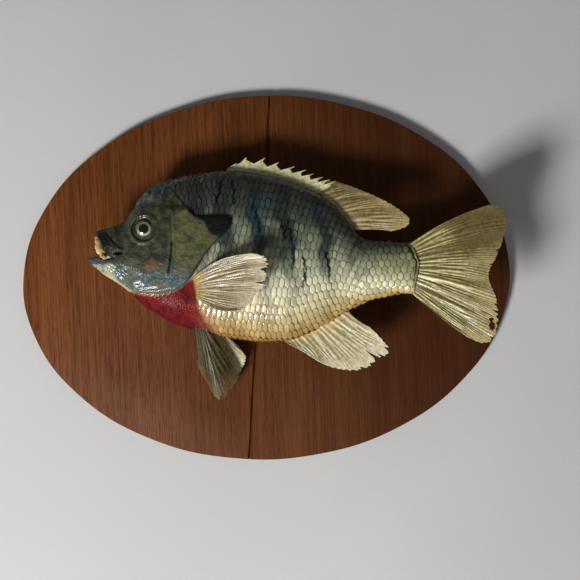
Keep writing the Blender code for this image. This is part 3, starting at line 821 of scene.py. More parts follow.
        rise += nape * (0.55 * grain(points * (1, 1, 0.7), 4.2, 9.0) + 0.30 * grain(points, 1.7, 3.0))
        ragged = ease(np.hypot(x + 46, z - 47), 11, 4) * flank
        rise += ragged * (0.45 * grain(points, 2.2, 13.0) + 0.2 * grain(points, 1.0, 17.0))
        along = z - (15.5 - (x + 106) * 0.62)
        jaw = marks.measure(x, z)["jaw"]
        rise += 0.06 * np.sin(along * 3.4) * jaw * ease(x, -104, -98) * ease(x, -80, -88)
        rays = bell(z + 4.0 + 0.02 * (x + 66) ** 2 * 0.3, 2.6) * ease(x, -84, -78) * ease(x, -46, -52) * flank
        rise += 0.12 * np.sin((z - 0.12 * x) * 2.6 + 1.5 * grain(points, 6.0)) * rays
        # Where painted shade falls: the groove round the head, the preopercle groove, the pit, the mouth's
        # corner, the eye's socket and the maxilla's edge.
        crease = np.maximum.reduce([
            0.9 * outside, split * bell(groove, 0.75) * flank, 0.95 * bell(pit, 1.5) * flank,
            0.9 * ease(corner, 1.5, 0.6) * flank,
            0.7 * bell(eye - 7.3, 0.45) * flank, 0.75 * bell(plate, 0.35) * flank * (x > -90),
        ])
        for crack in marks.cracks:
            gap = crack.distance(marks.bent(x, z), z)
            rise -= 0.7 * bell(gap, 0.7) * (side > 2)
            crease = np.maximum(crease, bell(gap, 0.8) * (side > 2))
        gap = marks.tail_crack.distance(x, z) + 0.15 * grain(points, 1.6, 30.0)
        gap = np.abs(gap) / (0.35 + 0.65 * ease(z, -2, 5))
        rise -= 0.7 * bell(gap, 0.7) * flank
        crease = np.maximum(crease, bell(gap, 0.72) * flank)
        return np.where(inner, 0.12 * grain(points, 1.5), rise), np.where(inner, 0.0, crease)

    def build(self, finish: bpy.types.Material) -> bpy.types.Object:
        """Makes the skin."""
        turns = self.turns()
        rings = self.rings(turns)
        count, wide = len(rings), len(turns)
        piece, u, v = Bench.grid("fish_skin", wide - 1, count - 1)
        column, row = np.rint(u * (wide - 1)).astype(int), np.rint(v * (count - 1)).astype(int)
        along = np.gradient(rings, axis=0)
        across = np.gradient(rings, axis=1)
        normal = np.cross(across, along)
        normal[:, 0] = normal[:, -1] = normal[:, 0] + normal[:, -1]
        length = np.linalg.norm(normal, axis=2, keepdims=True)
        normal = np.where(length > 1e-9, normal / np.maximum(length, 1e-9), 0.0)
        flat, inner = rings.reshape(-1, 3), np.repeat(np.arange(count) < 7, wide)
        rise, crease = self.relief(flat, inner)
        probe = (normal[count // 2] * (rings[count // 2] - rings[count // 2].mean(0))).sum()
        rise = rise * (1 if probe > 0 else -1)
        moved = flat + normal.reshape(-1, 3) * rise[:, None]
        moved[:, 1] = np.maximum(moved[:, 1], self.form.flank_gap - self.form.middle(moved[:, 0]))
        index = row * wide + column
        shown = moved[index]
        Bench.place(piece, self.form.world(shown))
        self.marks.mark(piece, shown[:, 0], shown[:, 2])
        Bench.attribute(piece, "crease", crease[index])
        rim_gap = np.clip((row - 7) / 14.0, 0, 1)
        Bench.attribute(piece, "lip", 1 - rim_gap)
        Bench.attribute(piece, "mouth", (row < 9) * 1.0)
        Bench.attribute(piece, "rim", np.zeros(len(shown)))
        Bench.attribute(piece, "chance", np.full(len(shown), 0.5))
        piece.data.uv_layers[0].name = "OFBake"
        Bench.close(piece)
        Bench.smooth(piece)
        nodes = ["head", "trunk", "tail_stem", "upper_jaw", "lower_jaw"]
        nodes += [f"{part}_{side}" for part in ("gill_cover", "ear_flap") for side in ("left", "right")]
        return deliver(piece, finish, nodes)


@dataclass
class Scales:
    """The coat of scales on one flank, in rows that run from head to tail and interlock like bricks."""

    form: FishForm
    marks: Marks
    flank: Flank
    pitch: float = 3.1
    row_pitch: float = 5.8
    segments: int = 12
    patch: float = 0.003
    lift: float = 0.34
    bare_ridge: float = 2.8
    seed: int = 11
    size_along: Line = Line(((-60, 0.8), (-42, 0.92), (-20, 1.0), (20, 1.04), (50, 1.1), (88, 1.16)))
    size_across: Line = Line((
        (-60, 0.72), (-42, 0.9), (-20, 1.0), (8, 1.0), (30, 0.86), (50, 0.74), (88, 0.70),
    ))
    corner_angles: tuple[float, ...] = (0.0, 30.0, 60.0, 90.0)
    corner_along: tuple[float, ...] = (0.50, 0.49, 0.29, 0.0)
    corner_across: tuple[float, ...] = (0.0, 0.27, 0.50, 0.66)

    def plate(self) -> tuple[Array, Array, list[tuple[int, ...]]]:
        """One scale, modelled from a disc.

        Returns:
            Its points (along, across, up) in shares of its size, each point's share of painted shade at the
            rim, and its faces.
        """
        Bench.clear()
        bpy.ops.mesh.primitive_circle_add(vertices=self.segments, radius=0.5, fill_type="NGON")
        piece = Bench.added("scale_plate")
        with Bench.editing(piece):
            for thickness in (0.06, 0.14):
                bpy.ops.mesh.inset(thickness=thickness, depth=0.0)
            bpy.ops.mesh.poke()
        points = np.array([vertex.co for vertex in piece.data.vertices])
        faces = [tuple(face.vertices) for face in piece.data.polygons]
        bpy.data.objects.remove(piece)
        reach = np.hypot(points[:, 0], points[:, 1]) / 0.5
        outer = np.flatnonzero(reach > 0.99)
        outer = outer[np.argsort(np.arctan2(points[outer, 1], points[outer, 0]))]
        skirt = points[outer] * 0.97
        faces += [
            (outer[i], outer[i - 1], len(points) + (i - 1) % len(outer), len(points) + i)
            for i in range(len(outer))
        ]
        points = np.vstack([points, skirt])
        low = np.r_[np.zeros(len(reach), bool), np.ones(len(outer), bool)]
        reach = np.r_[reach, np.full(len(outer), 1.0)]
        fold = np.degrees(np.arctan2(np.abs(points[:, 1]), np.abs(points[:, 0])))
        points[:, 0] = np.sign(points[:, 0]) * np.interp(fold, self.corner_angles, self.corner_along) * reach
        points[:, 1] = np.sign(points[:, 1]) * np.interp(fold, self.corner_angles, self.corner_across) * reach
        points[:, 2] = np.where(low, -0.75, 0.13 * (1 - reach**2) - 0.09 * (reach > 0.99))
        return points, ease(reach, 0.72, 1.0), faces

    def sites(self) -> list[tuple[float, float, float, float]]:
        """Where the scales are rooted: x, share round the body, length and height."""
        found = []
        x, half_steps = -61.0, 0
        while x < 88.0:
            table = np.linspace(-0.25, 0.25, 161)
            ring = self.form.section(np.full(table.shape, x), table)
            run = np.r_[0.0, np.cumsum(np.linalg.norm(np.diff(ring[:, 1:], axis=0), axis=1))]
            run -= np.interp(0.0, table, run)
            along = self.pitch * float(self.size_along(x))
            across = self.row_pitch * float(self.size_across(x))
            for j in range(-16, 17):
                at = j * across
                if (half_steps + j) % 2 == 0 and run[0] + 0.2 < at < run[-1] - self.bare_ridge:
                    found.append((x, float(np.interp(at, run, table)), along, across))
            x += along / 2
            half_steps += 1
        return found

    def breast_sites(self) -> list[tuple[float, float, float, float]]:
        """Where the small scales of the throat are rooted."""
        found = []
        along, across = 1.55, 2.1
        for i in range(60):
            x = -79.0 + i * along / 2
            table = np.linspace(-0.25, 0.1, 121)
            ring = self.form.section(np.full(table.shape, x), table)
            run = np.r_[0.0, np.cumsum(np.linalg.norm(np.diff(ring[:, 1:], axis=0), axis=1))]
            for j in range(1, 40):
                if (i + j) % 2 == 0 and j * across * 0.5 < run[-1]:
                    found.append((x, float(np.interp(j * across * 0.5, run, table)), along, across))
        return found

    def wanted(self, x: Array, z: Array) -> tuple[Array, Array]:
        """Whether big scales, and whether small ones, grow at points of the side view."""
        bare = self.marks.step(x, z) > -1.0
        throat = self.marks.throat.inside(x, z) > -1.0
        crack = self.marks.tail_crack.corners()
        bare |= x > np.interp(-z, -crack[:, 1], crack[:, 0]) - 1.5
        bare |= self.marks.maxilla.inside(x, z) > 0
        return ~bare & ~throat, ~bare & throat

    def build(self, finish: bpy.types.Material) -> bpy.types.Object:
        """Makes the flank's coat as one joined mesh."""
        rng = np.random.default_rng(self.seed + self.flank.value)
        shape, rim, faces = self.plate()
        big, small = np.array(self.sites()), np.array(self.breast_sites())
        kept = []
        for sites, choice in ((big, 0), (small, 1)):
            where = self.form.section(sites[:, 0], sites[:, 1])
            mask = self.wanted(where[:, 0], where[:, 2])[choice]
            kept.append(np.c_[sites[mask], np.full(mask.sum(), choice)])
        sites = np.vstack(kept)
        x, turn, along, across, tiny = sites.T
        if self.flank is Flank.FAR:
            turn = 0.5 - turn
        inset = -0.38 * np.ones(len(x))
        here = self.form.section(x, turn, inset)
        ahead = self.form.section(x + 0.4, turn, inset) - self.form.section(x - 0.4, turn, inset)
        beside = self.form.section(x, turn + 0.002, inset) - self.form.section(x, turn - 0.002, inset)
        tail = ahead / np.linalg.norm(ahead, axis=1)[:, None]
        beside -= (beside * tail).sum(1)[:, None] * tail
        up = beside / np.maximum(np.linalg.norm(beside, axis=1), 1e-9)[:, None]
        normal = np.cross(tail, up)
        outward = here - np.c_[x, np.zeros(len(x)), self.form.girth(x)[1]]
        normal *= np.sign((normal * outward).sum(1))[:, None]
        push = np.zeros(len(x))
        lean = 0.10 * ease(here[:, 2], 42, 50) * ease(x, -8, -34) * rng.normal(0, 1, len(x))
        if self.flank is Flank.NEAR:
            for crack in self.marks.cracks:
                middle = crack.corners()
                side = np.sign(here[:, 0] - np.interp(here[:, 2], middle[::-1, 1], middle[::-1, 0]))
                near = ease(crack.distance(here[:, 0], here[:, 2]), 3.4, 0.6)
                push += side * near * 0.85
                lean = lean + near * 0.14
        slope = rng.normal(0, 0.035, len(x)) + lean
        roll = rng.normal(0, 0.035, len(x))
        twist = rng.normal(0, 0.05, len(x))
        grow = rng.normal(1.0, 0.035, (len(x), 2)) * (1 + 0.12 * ease(here[:, 2:], 38, 47))
        a = shape[None, :, 0] * (along * grow[:, 0])[:, None] * 1.05
        b = shape[None, :, 1] * (across * grow[:, 1])[:, None] * 1.04
        cos, sin = np.cos(twist)[:, None], np.sin(twist)[:, None]
        a, b = a * cos - b * sin, a * sin + b * cos
        rear = (shape[None, :, 0] + 0.5)
        height = np.where(tiny > 0.5, 0.10, 1.0)[:, None]
        slope, roll = slope * (1 - 0.6 * tiny), roll * (1 - 0.6 * tiny)
        raised = self.lift * (rear - 0.25) * height
        h = raised + shape[None, :, 2] * np.where(shape[None, :, 2] < -0.5, 0.8, 0.3 + 0.7 * height)
        h = h + a * slope[:, None] + b * roll[:, None]
        a = a + push[:, None] + rng.normal(0, 0.07, (len(x), 1))
        b = b + rng.normal(0, 0.07, (len(x), 1))
        points = here[:, None] + sum(
            share[..., None] * way[:, None] for share, way in ((a, tail), (b, up), (h, normal))
        )
        drop = (b[..., None] ** 2) / 2 * self.curve(x)[:, None, None]
        points = points - drop * normal[:, None]
        flat = points.reshape(-1, 3)
        flat[:, 1] = np.maximum(flat[:, 1], self.form.flank_gap * 0.6 - self.form.middle(flat[:, 0]))
        piece = self.mesh(flat, faces, len(x), len(shape), x, turn, shape)
        self.marks.mark(piece, flat[:, 0], flat[:, 2])
        # rim: the share of painted shade at each scale's edge.
        Bench.attribute(piece, "rim", np.tile(rim, len(x)))
        bent = self.marks.bent(flat[:, 0], flat[:, 2])
        gap = np.minimum.reduce([crack.distance(bent, flat[:, 2]) for crack in self.marks.cracks])
        # The cracks get painted shade on the scales too.
        Bench.attribute(piece, "crease", np.clip(1.3 * bell(gap, 0.72), 0, 1) * (self.flank is Flank.NEAR))
        Bench.attribute(piece, "lip", np.zeros(len(flat)))
        Bench.attribute(piece, "mouth", np.zeros(len(flat)))
        Bench.attribute(piece, "chance", np.repeat(rng.random(len(x)), len(shape)))
        Bench.smooth(piece, 50)
        return deliver(piece, finish, [])

    def curve(self, x: Array) -> Array:
        """How tightly the flank bends round at x, over a millimetre."""
        _, _, _, half = self.form.girth(x)
        return 0.35 * half / (0.25 * (self.form.back(x) - self.form.belly(x)) ** 2)

    def mesh(
        self, flat: Array, faces: list[tuple[int, ...]], count: int, size: int, x: Array, turn: Array,
        shape: Array,
    ) -> bpy.types.Object:
        """Joins the copies of the plate in one mesh, each with its own patch of the unwrap."""
        name = f"scales_{'left' if self.flank is Flank.NEAR else 'right'}"
        mesh = bpy.data.meshes.new(name)
        joined = [tuple(int(i) + k * size for i in face) for k in range(count) for face in faces]
        mesh.from_pydata((self.form.world(flat) * MM).tolist(), [], joined)
        corner = np.zeros(len(mesh.loops), np.int32)
        mesh.loops.foreach_get("vertex_index", corner)
        which, local = corner // size, corner % size
        root = np.stack([(turn[which] + 0.25) % 1.0, (x[which] + 106.0) / 198.0], -1)
        patch = root * 0.98 + 0.01 + shape[local][:, :2] * self.patch
        layer = mesh.uv_layers.new(name="OFBake")
        layer.data.foreach_set("uv", patch.astype(np.float32).ravel())
        piece = bpy.data.objects.new(name, mesh)
        bpy.context.scene.collection.objects.link(piece)
        with Bench.editing(piece):
            bpy.ops.mesh.normals_make_consistent(inside=False)
        return piece


# ---------------------------------------------------------------- fins


@dataclass(frozen=True)
class FinPaint:
    """The colours of one dried fin."""

    web: Colour
    ray: Colour
    root: Colour
    tip: Colour
    stain: Colour
    stain_share: float = 0.35
    root_reach: float = 0.25
    roughness: float = 0.40
    upper: Colour = (0.0, 0.0, 0.0)
    upper_share: float = 0.0
    coat: float = 0.40

    def material(self, name: str) -> bpy.types.Material:
        """The fin's material: pale rays over a darker web, stained at its root and edge."""
        kit = Kit(name, self.roughness, Coat_Weight=self.coat, Coat_Roughness=0.14, Specular_IOR_Level=0.25)
        ray, reach, across = kit.mark("ray"), kit.mark("reach"), kit.mark("across")
        cloud, fine = kit.noise(70, 4), kit.noise(420, 3)
        colour = kit.mix(self.web, self.ray, (ray * 0.85 + (fine - 0.5) * 0.5).step(0.08, 0.66))
        colour = kit.mix(colour, self.tip, (reach + (cloud - 0.5) * 0.5).step(0.66, 1.08))
        colour = kit.mix(colour, self.stain, cloud.step(0.5, 0.78) * self.stain_share)
        lobe = (kit.axis("Z") + (cloud - 0.5) * 22.0).step(4.0, 15.0)
        lobe = lobe * (reach + (cloud - 0.5) * 0.4).step(0.35, 0.6)
        colour = kit.mix(colour, self.upper, lobe * self.upper_share)
        base = (reach + (cloud - 0.5) * 0.25).step(self.root_reach, 0.0)
        colour = kit.mix(colour, self.root, base)
        bands = kit.math("SINE", reach * 260.0 + across * 40.0 + fine * 6.0) * 0.5 + 0.5
        dark = kit.mix((1, 1, 1), (0.55, 0.48, 0.36), (kit.noise(560, 4) + bands * 0.04).step(0.46, 0.62) * 0.6)
        colour = kit.mix(colour, dark, 0.8, "MULTIPLY")
        kit.wear(Base_Color=colour, Roughness=fine * 0.4 + (self.roughness - 0.16))
        kit.bump((bands * ray, 0.015), (fine, 0.12))
        return kit.material


@dataclass(frozen=True)
class Fin:
    """A dried fin: a sheet that swells over each ray, with a ragged outer edge."""

    name: str
    node: str
    slot: str
    root: Path
    tips: Path
    rays: int
    y: Callable[[Array, Array, Array, Array], Array]  # x, z, share across, share out: y in millimetres
    paint: FinPaint
    bow: Callable[[Array], Array] = lambda u: u * 0
    tears: tuple[tuple[float, float, float], ...] = ()
    holes: tuple[tuple[float, float, float, float], ...] = ()
    thickness: float = 0.95
    root_swell: float = 0.0
    fade_in: float = 0.02
    rows: int = 44
    columns_per_ray: int = 10
    rag: float = 0.018
    scallop: float = 0.02
    sunk: float = 0.06
    splits: tuple[float, float] = (0.42, 0.72)
    seed: float = 0.0

    def reach(self, u: Array) -> Array:
        """How far out the fin goes at shares across it, with its tears."""
        key = np.stack([u * 37.0 * self.rays / 12, np.full(u.shape, self.seed), u * 0], -1)
        bays = 0.5 - 0.5 * np.cos(math.tau * self.rays * u * 2)
        far = 1 - self.rag * (1 + grain(key, 1.0)) - self.scallop * bays
        for at, width, depth in self.tears:
            far = far - depth * np.clip(1 - np.abs(u - at) / width, 0, 1) ** 0.7
        return far

    def centre(self, u: Array, v: Array) -> Array:
        """The middle of the sheet at shares across and out, in millimetres."""
        root, tip = self.root.walk(u), self.tips.walk(u)
        out = v * (self.reach(u) + self.sunk) - self.sunk
        run = tip - root
        length = np.maximum(np.linalg.norm(run, axis=-1), 1e-6)
        side = self.bow(u) * 4 * out * (1 - out)
        x = root[..., 0] + run[..., 0] * out - run[..., 1] / length * side
        z = root[..., 1] + run[..., 1] * out + run[..., 0] / length * side
        return np.stack([x, self.y(x, z, u, np.maximum(out, 0)), z], -1)

    def ridges(self, u: Array, v: Array) -> Array:
        """1 on a ray and 0 between two; each ray forks twice on its way out."""
        key = np.stack([u * self.rays * 0.55, v * 0.8, u * 0 + self.seed + 50], -1)
        turn = math.tau * (self.rays * u + 0.42 * grain(key, 1.0))
        waves = [0.5 - 0.5 * np.cos(turn * k) for k in (1, 2, 4)]
        first, second = (ease(v, fork - 0.1, fork + 0.16) for fork in self.splits)
        wave = waves[0] * (1 - first) + waves[1] * first * (1 - second) + waves[2] * first * second
        shown = ease(v, 0.0, self.fade_in)
        strength = 0.72 + 0.5 * grain(key * (1.9, 0.6, 1.0) + 9.0, 1.0)
        return np.clip(wave**1.3 * strength, 0, 1) * shown + 0.4 * (1 - shown)

    def pierce(self, piece: bpy.types.Object, u: Array, v: Array) -> None:
        """Takes out the faces that lie in the torn holes."""
        if not self.holes:
            return
        with Bench.editing(piece):
            bpy.ops.mesh.select_all(action="DESELECT")
        for face in piece.data.polygons:
            middle_u, middle_v = u[list(face.vertices)].mean(), v[list(face.vertices)].mean()
            face.select = any(
                math.hypot((middle_u - across) / wide, (middle_v - out) / long) < 1
                for across, out, wide, long in self.holes
            )
        bpy.ops.object.mode_set(mode="EDIT")
        bpy.ops.mesh.select_mode(type="FACE")
        bpy.ops.mesh.delete(type="FACE")
        bpy.ops.object.mode_set(mode="OBJECT")

    def build(self) -> bpy.types.Object:
        """Makes the fin."""
        piece, u, v = Bench.grid(self.name, self.rays * self.columns_per_ray, self.rows)
        points = self.centre(u, v)
        ridge = self.ridges(u, v)
        wave = 0.22 * grain(np.stack([u * 9, v * 3, u * 0 + self.seed], -1), 1.0) * v
        points[:, 1] += wave
        Bench.place(piece, points)
        group = piece.vertex_groups.new(name="swell")
        weight = (0.22 + 0.78 * ridge) * (1 - 0.5 * v)
        weight = (weight + self.root_swell * np.exp(-v / 0.09)) / (1 + self.root_swell)
        for i, share in enumerate(weight):
            group.add([i], float(share), "REPLACE")
        for name, values in (("ray", ridge), ("reach", v), ("across", u)):
            Bench.attribute(piece, name, values)
        self.pierce(piece, u, v)
        swell = piece.modifiers.new("swell", "SOLIDIFY")
        swell.thickness = self.thickness * (1 + self.root_swell) * MM
        swell.offset = 0.0
        swell.vertex_group = "swell"
        swell.use_even_offset = False
        Bench.settle(piece)
        Bench.close(piece, 0.0001)
        Bench.smooth(piece, 60)
        return deliver(piece, self.paint.material(f"{self.name}_skin"), [self.node])


@dataclass
class Fins:
    """All the fins, each along the body's middle line or standing off a flank."""

    form: FishForm
    straw: FinPaint = FinPaint(
        (0.20, 0.145, 0.055), (0.60, 0.46, 0.21), (0.80, 0.68, 0.38), (0.58, 0.44, 0.20), (0.12, 0.08, 0.03),
        stain_share=0.4, root_reach=0.36,
    )
    lemon: FinPaint = FinPaint(
        (0.84, 0.79, 0.46), (0.96, 0.92, 0.62), (0.14, 0.13, 0.07), (0.70, 0.65, 0.36), (0.16, 0.12, 0.04),
        stain_share=0.3, root_reach=0.16,
    )
    olive: FinPaint = FinPaint(
        (0.20, 0.165, 0.055), (0.84, 0.75, 0.36), (0.34, 0.31, 0.14), (0.54, 0.43, 0.20), (0.12, 0.085, 0.027),
        stain_share=0.5, root_reach=0.14, roughness=0.36,
        upper=(0.155, 0.115, 0.036), upper_share=0.9, coat=0.28,
    )
    cream: FinPaint = FinPaint(
        (0.22, 0.17, 0.09), (0.80, 0.71, 0.46), (0.60, 0.38, 0.12), (0.76, 0.68, 0.48), (0.32, 0.22, 0.09),
        stain_share=0.3, root_reach=0.34,
    )
    pale: FinPaint = FinPaint(
        (0.46, 0.39, 0.18), (0.95, 0.90, 0.66), (0.80, 0.63, 0.32), (0.90, 0.83, 0.57), (0.46, 0.33, 0.13),
        stain_share=0.3, root_reach=0.22,
    )
    dusky: FinPaint = FinPaint(
        (0.036, 0.027, 0.008), (0.125, 0.098, 0.036), (0.030, 0.040, 0.026), (0.17, 0.11, 0.045),
        (0.025, 0.02, 0.01), stain_share=0.5, root_reach=0.2, roughness=0.46, coat=0.16,
    )

    def upon(self, line: Line, low: float, high: float, lift: float) -> Path:
        """The foot of a fin that stands on the back or belly line."""
        steps = np.linspace(low, high, 14)
        return Path(tuple((float(x), float(line(x)) + lift) for x in steps), rounds=0)

    def middle_y(self, x: Array) -> Array:
        """y of the body's middle line."""
        return self.form.face_y - self.form.middle(x)

    def soft_dorsal(self) -> Fin:
        """The soft rear half of the dorsal fin."""
        tips = Path((
            (41, 56.4), (47.5, 54.8), (57.9, 50.2), (67.4, 45.4), (76.9, 39.6), (84.4, 33.4), (87.6, 29.2),
            (84.6, 25.0), (76, 23.6),
        ), rounds=2)
        return Fin(
            "dorsal_soft", "dorsal_fin_soft", "fin", self.upon(self.form.back, 29.0, 54.8, 0.2), tips, 12,
            lambda x, z, u, v: self.middle_y(x) + 2.5 * v * v, self.straw, lambda u: 0.8 + 0 * u,
            thickness=1.0, seed=1.0, sunk=0.1,
        )

    def anal(self) -> Fin:
        """The anal fin, torn into lobes behind."""
        tips = Path((
            (12.5, -40.8), (19.9, -44.9), (26, -49.6), (32.1, -53.8), (38.7, -56.4), (47, -58.2), (55.3, -57.8),
            (63.0, -54.8), (63.2, -51.0), (66.4, -50.6), (70.8, -49.6), (71.8, -44.9), (68, -40.6), (66.1, -38),
            (60.6, -32.3),
        ), rounds=1)
        return Fin(
            "anal_fin_rays", "anal_fin", "fin", self.upon(self.form.belly, 9.5, 48.5, -0.2), tips, 13,
            lambda x, z, u, v: self.middle_y(x) - 1.5 * v, self.pale, lambda u: -1.0 * u,
            tears=(
                (0.685, 0.012, 0.24), (0.725, 0.008, 0.14), (0.80, 0.014, 0.08), (0.55, 0.008, 0.06),
                (0.62, 0.008, 0.08),
            ),
            holes=((0.72, 0.33, 0.007, 0.05),), thickness=1.15, seed=2.0,
        )

    def tail(self) -> Fin:
        """The tail fin, cupped and swung out from the wall."""
        root = Path(((86.6, 16.4), (87.6, 8), (88.6, 0), (87.4, -8), (86.4, -14.6)))
        tips = Path((
            (130, 35.2), (134, 34.6), (137.4, 32.6), (139.4, 29), (139.2, 22.5), (136.9, 13.3), (133, 6),
            (129.6, 0), (127.2, -4.9), (128.8, -11.1), (131.2, -18), (131.8, -27), (131.4, -33.5), (129.8, -40),
            (126.6, -43.6), (121.0, -43.4), (114.4, -39.6),
        ), rounds=1)

        def y(x: Array, z: Array, u: Array, v: Array) -> Array:
            """The fin's y, wavy across its rays as it dried."""
            folds = 0.45 * np.cos(math.tau * 9.5 * u) * ease(u, 0.3, 0.5)
            folds = folds * ease(v, 0.05, 0.3) * ease(v, 1.15, 0.6)
            cup = 1.5 * np.sin(2.5 * math.pi * u) * v + 0.5 * np.sin(9 * math.pi * u) * v * v + folds
            return self.middle_y(x) + cup - 1.5 * v * (u - 0.4)

        return Fin(
            "tail_fin_rays", "tail_fin", "fin", root, tips, 17, y, self.olive, lambda u: 2.2 - 2.9 * u,
            tears=(
                (0.32, 0.008, 0.05), (0.41, 0.006, 0.06), (0.65, 0.006, 0.05), (0.69, 0.008, 0.06),
                (0.84, 0.006, 0.04),
            ),
            holes=((0.765, 0.94, 0.032, 0.026), (0.785, 0.95, 0.022, 0.032), (0.725, 0.87, 0.0045, 0.07)),
            thickness=1.5, root_swell=1.2, fade_in=0.10, rows=72, columns_per_ray=16, seed=3.0, scallop=0.008,
            rag=0.012, splits=(0.34, 0.66),
        )

    def pectoral(self, flank: Flank) -> Fin:
        """A pectoral fin: the near one stands out, and the far one lies back in front of the board."""
        root, tips = (
            ((-41.8, 1), (-40.2, -4.5), (-40.4, -10.5)),
            ((-4, 13.0), (1.8, 11.6), (4.9, 8.2), (3.0, 5.2), (2.4, 3), (3.7, -0.1), (0.6, -3.2), (2.2, -6),
             (-3.4, -9.4), (-7.6, -15), (-12, -18.4), (-17.6, -18.9)),
        )
        clear = 0.9
        bow = lambda u: 4.0 * (1 - 1.6 * u)
        if flank is Flank.NEAR:
            def near(x: Array, z: Array, u: Array, v: Array) -> Array:
                """y of the near fin, which lifts off the flank."""
                side = self.form.flank(x, z) + clear * np.minimum(1, 12 * v) - 1.2 * (v <= 0) + 13.0 * v**1.3
                return self.middle_y(x) - side + 0.5 * np.sin(11 * u) * v

            return Fin(
                "pectoral_near", "pectoral_fin_left", "fin", Path(root), Path(tips, rounds=1), 13, near,
                self.cream, bow,
                tears=(
                    (0.30, 0.02, 0.07), (0.47, 0.014, 0.12), (0.585, 0.02, 0.10), (0.66, 0.012, 0.12),
                    (0.2, 0.008, 0.05),
                ),
                thickness=1.2, seed=4.0, sunk=0.05, rag=0.03,
            )
        share, turn, drop = 0.75, math.radians(30), 6.0
        cos, sin = math.cos(turn) * share, math.sin(turn) * share
        pivot = root[1]

        def laid(points: Pairs) -> Path:
            """Points of the near fin, turned down for the far one."""
            moved = []
            for x, z in points:
                dx, dz = x - pivot[0], z - pivot[1]
                moved.append((pivot[0] + cos * dx + sin * dz, pivot[1] - drop - sin * dx + cos * dz))
            return Path(tuple(moved), rounds=1)

        def far(x: Array, z: Array, u: Array, v: Array) -> Array:
            """y of the far fin, between the flank and the board."""
            room = self.form.middle(x) - clear
            return self.middle_y(x) + np.minimum(room, self.form.flank(x, z) + clear + 0.8 * v)

        return Fin(
            "pectoral_far", "pectoral_fin_right", "fin", laid(root), laid(tips), 12, far, self.cream,
            lambda u: share * bow(u), seed=5.0, thickness=0.8, rows=24, columns_per_ray=8, sunk=0.02,
        )

    def pelvic(self, flank: Flank) -> Fin:
        """A pelvic fin: the near one hangs down, and the far one is fanned out behind it."""
        near = flank is Flank.NEAR
        feet = (-43.0, -35.6) if near else (-35.4, -26.6)
        tips = (
            ((-44.4, -50), (-44.0, -54), (-41.6, -58.4), (-36.9, -67.8), (-33.4, -74.2), (-29.5, -74.2),
             (-24.6, -69), (-18.6, -60.4)) if near else
            ((-20.8, -60), (-18.4, -58.6), (-16, -53.6), (-14.4, -50), (-14.8, -47.2), (-18.4, -42))
        )
        low, high = (24.0, 9.0) if near else (14.5, 6.5)
        steps = np.linspace(*feet, 8)
        foot = Path(tuple((float(x), float(self.form.underside(x, low)) + 0.3) for x in steps), rounds=0)

        def y(x: Array, z: Array, u: Array, v: Array) -> Array:
            """The fin's y, which comes in towards the board."""
            return self.form.face_y - (low + (high - low) * v - np.sin(math.tau * u) * v)

        return Fin(
            f"pelvic_{flank.name.lower()}", f"pelvic_fin_{'left' if near else 'right'}", "dark_fin", foot,
            Path(tips, rounds=1), 6, y, self.dusky if near else self.pale, thickness=1.2, rag=0.012,
            tears=((0.62, 0.02, 0.05), (0.75, 0.02, 0.06)) if near else (), seed=6.0 if near else 7.0,
        )

    def spiny_dorsal(self) -> bpy.types.Object:
        """The spiny front half of the dorsal fin: slender spines with a web behind each."""
        feet = (-20.5, -16, -11, -4, 3, 9.5, 15.5, 20.5, 25, 29.5, 32.5)
        tips = (
            (-14.5, 69.4), (-8.3, 72.7), (3, 71.9), (11.1, 68.7), (20.1, 65.6), (27, 63.2), (31.6, 60.8),
            (37, 58.4), (41, 56.8), (44.5, 55.6), (47.5, 55.0),
        )
        base = [np.array((x, float(self.form.back(x)) - 1.2)) for x in feet]
        top = [np.array(tip) for tip in tips]
        steps = 8
        roots, outs = [], []
        for k in range(len(feet) - 1):
            for i in range(steps):
                share = i / steps
                root = base[k] * (1 - share) + base[k + 1] * share
                full = top[k] * (1 - share) + top[k + 1] * share
                reach = 1.0 if i == 0 else 0.86 - 0.30 * share**0.8
                roots.append(root)
                outs.append(root + (full - root) * reach)
        roots, outs = np.array(roots), np.array(outs)
        piece, u, v = Bench.grid("dorsal_spiny", len(roots) - 1, 10)
        column = np.rint(u * (len(roots) - 1)).astype(int)
        flat = roots[column] + (outs[column] - roots[column]) * v[:, None]
        x, z = flat.T
        Bench.place(piece, np.c_[x, self.middle_y(x) + 0.25 * np.sin(x * 1.7) * v, z])
        on_spine = (column % steps == 0) * 1.0
        for name, values in (("ray", on_spine), ("reach", v), ("across", u)):
            Bench.attribute(piece, name, values)
        swell = piece.modifiers.new("swell", "SOLIDIFY")
        swell.thickness, swell.offset = 0.55 * MM, 0.0
        Bench.settle(piece)
        pieces = [piece]
        for root, tip in zip(base[:-1], top[:-1]):
            pieces.append(self.spine(root, tip))
        fin = Bench.join("dorsal_spiny", pieces)
        Bench.smooth(fin, 50)
        return deliver(fin, self.lemon.material("dorsal_spiny_skin"), ["dorsal_fin_spiny"])

    def spine(self, root: Array, tip: Array) -> bpy.types.Object:
        """One slender, pointed spine, slightly bowed."""
        Bench.clear()
        run = tip - root
        length = float(np.linalg.norm(run))
        bpy.ops.mesh.primitive_cone_add(vertices=10, radius1=0.75 * MM, radius2=0.1 * MM, depth=length * MM)
        piece = Bench.added("spine")
        with Bench.editing(piece):
            bpy.ops.mesh.bisect(plane_co=(0, 0, 0), plane_no=(0, 0, 1))
        local = np.array([vertex.co for vertex in piece.data.vertices]) / MM
        share = local[:, 2] / length + 0.5
        beside = np.array((-run[1], run[0])) / length
        bowed = root + run * share[:, None] + beside * (0.5 * np.sin(math.pi * share) + local[:, 0])[:, None]
        y = self.middle_y(bowed[:, 0]) + local[:, 1]
        Bench.place(piece, np.c_[bowed[:, 0], y, bowed[:, 1]])
        for name, values in (("ray", np.ones(len(share))), ("reach", share), ("across", np.zeros(len(share)))):
            Bench.attribute(piece, name, values)
        return piece

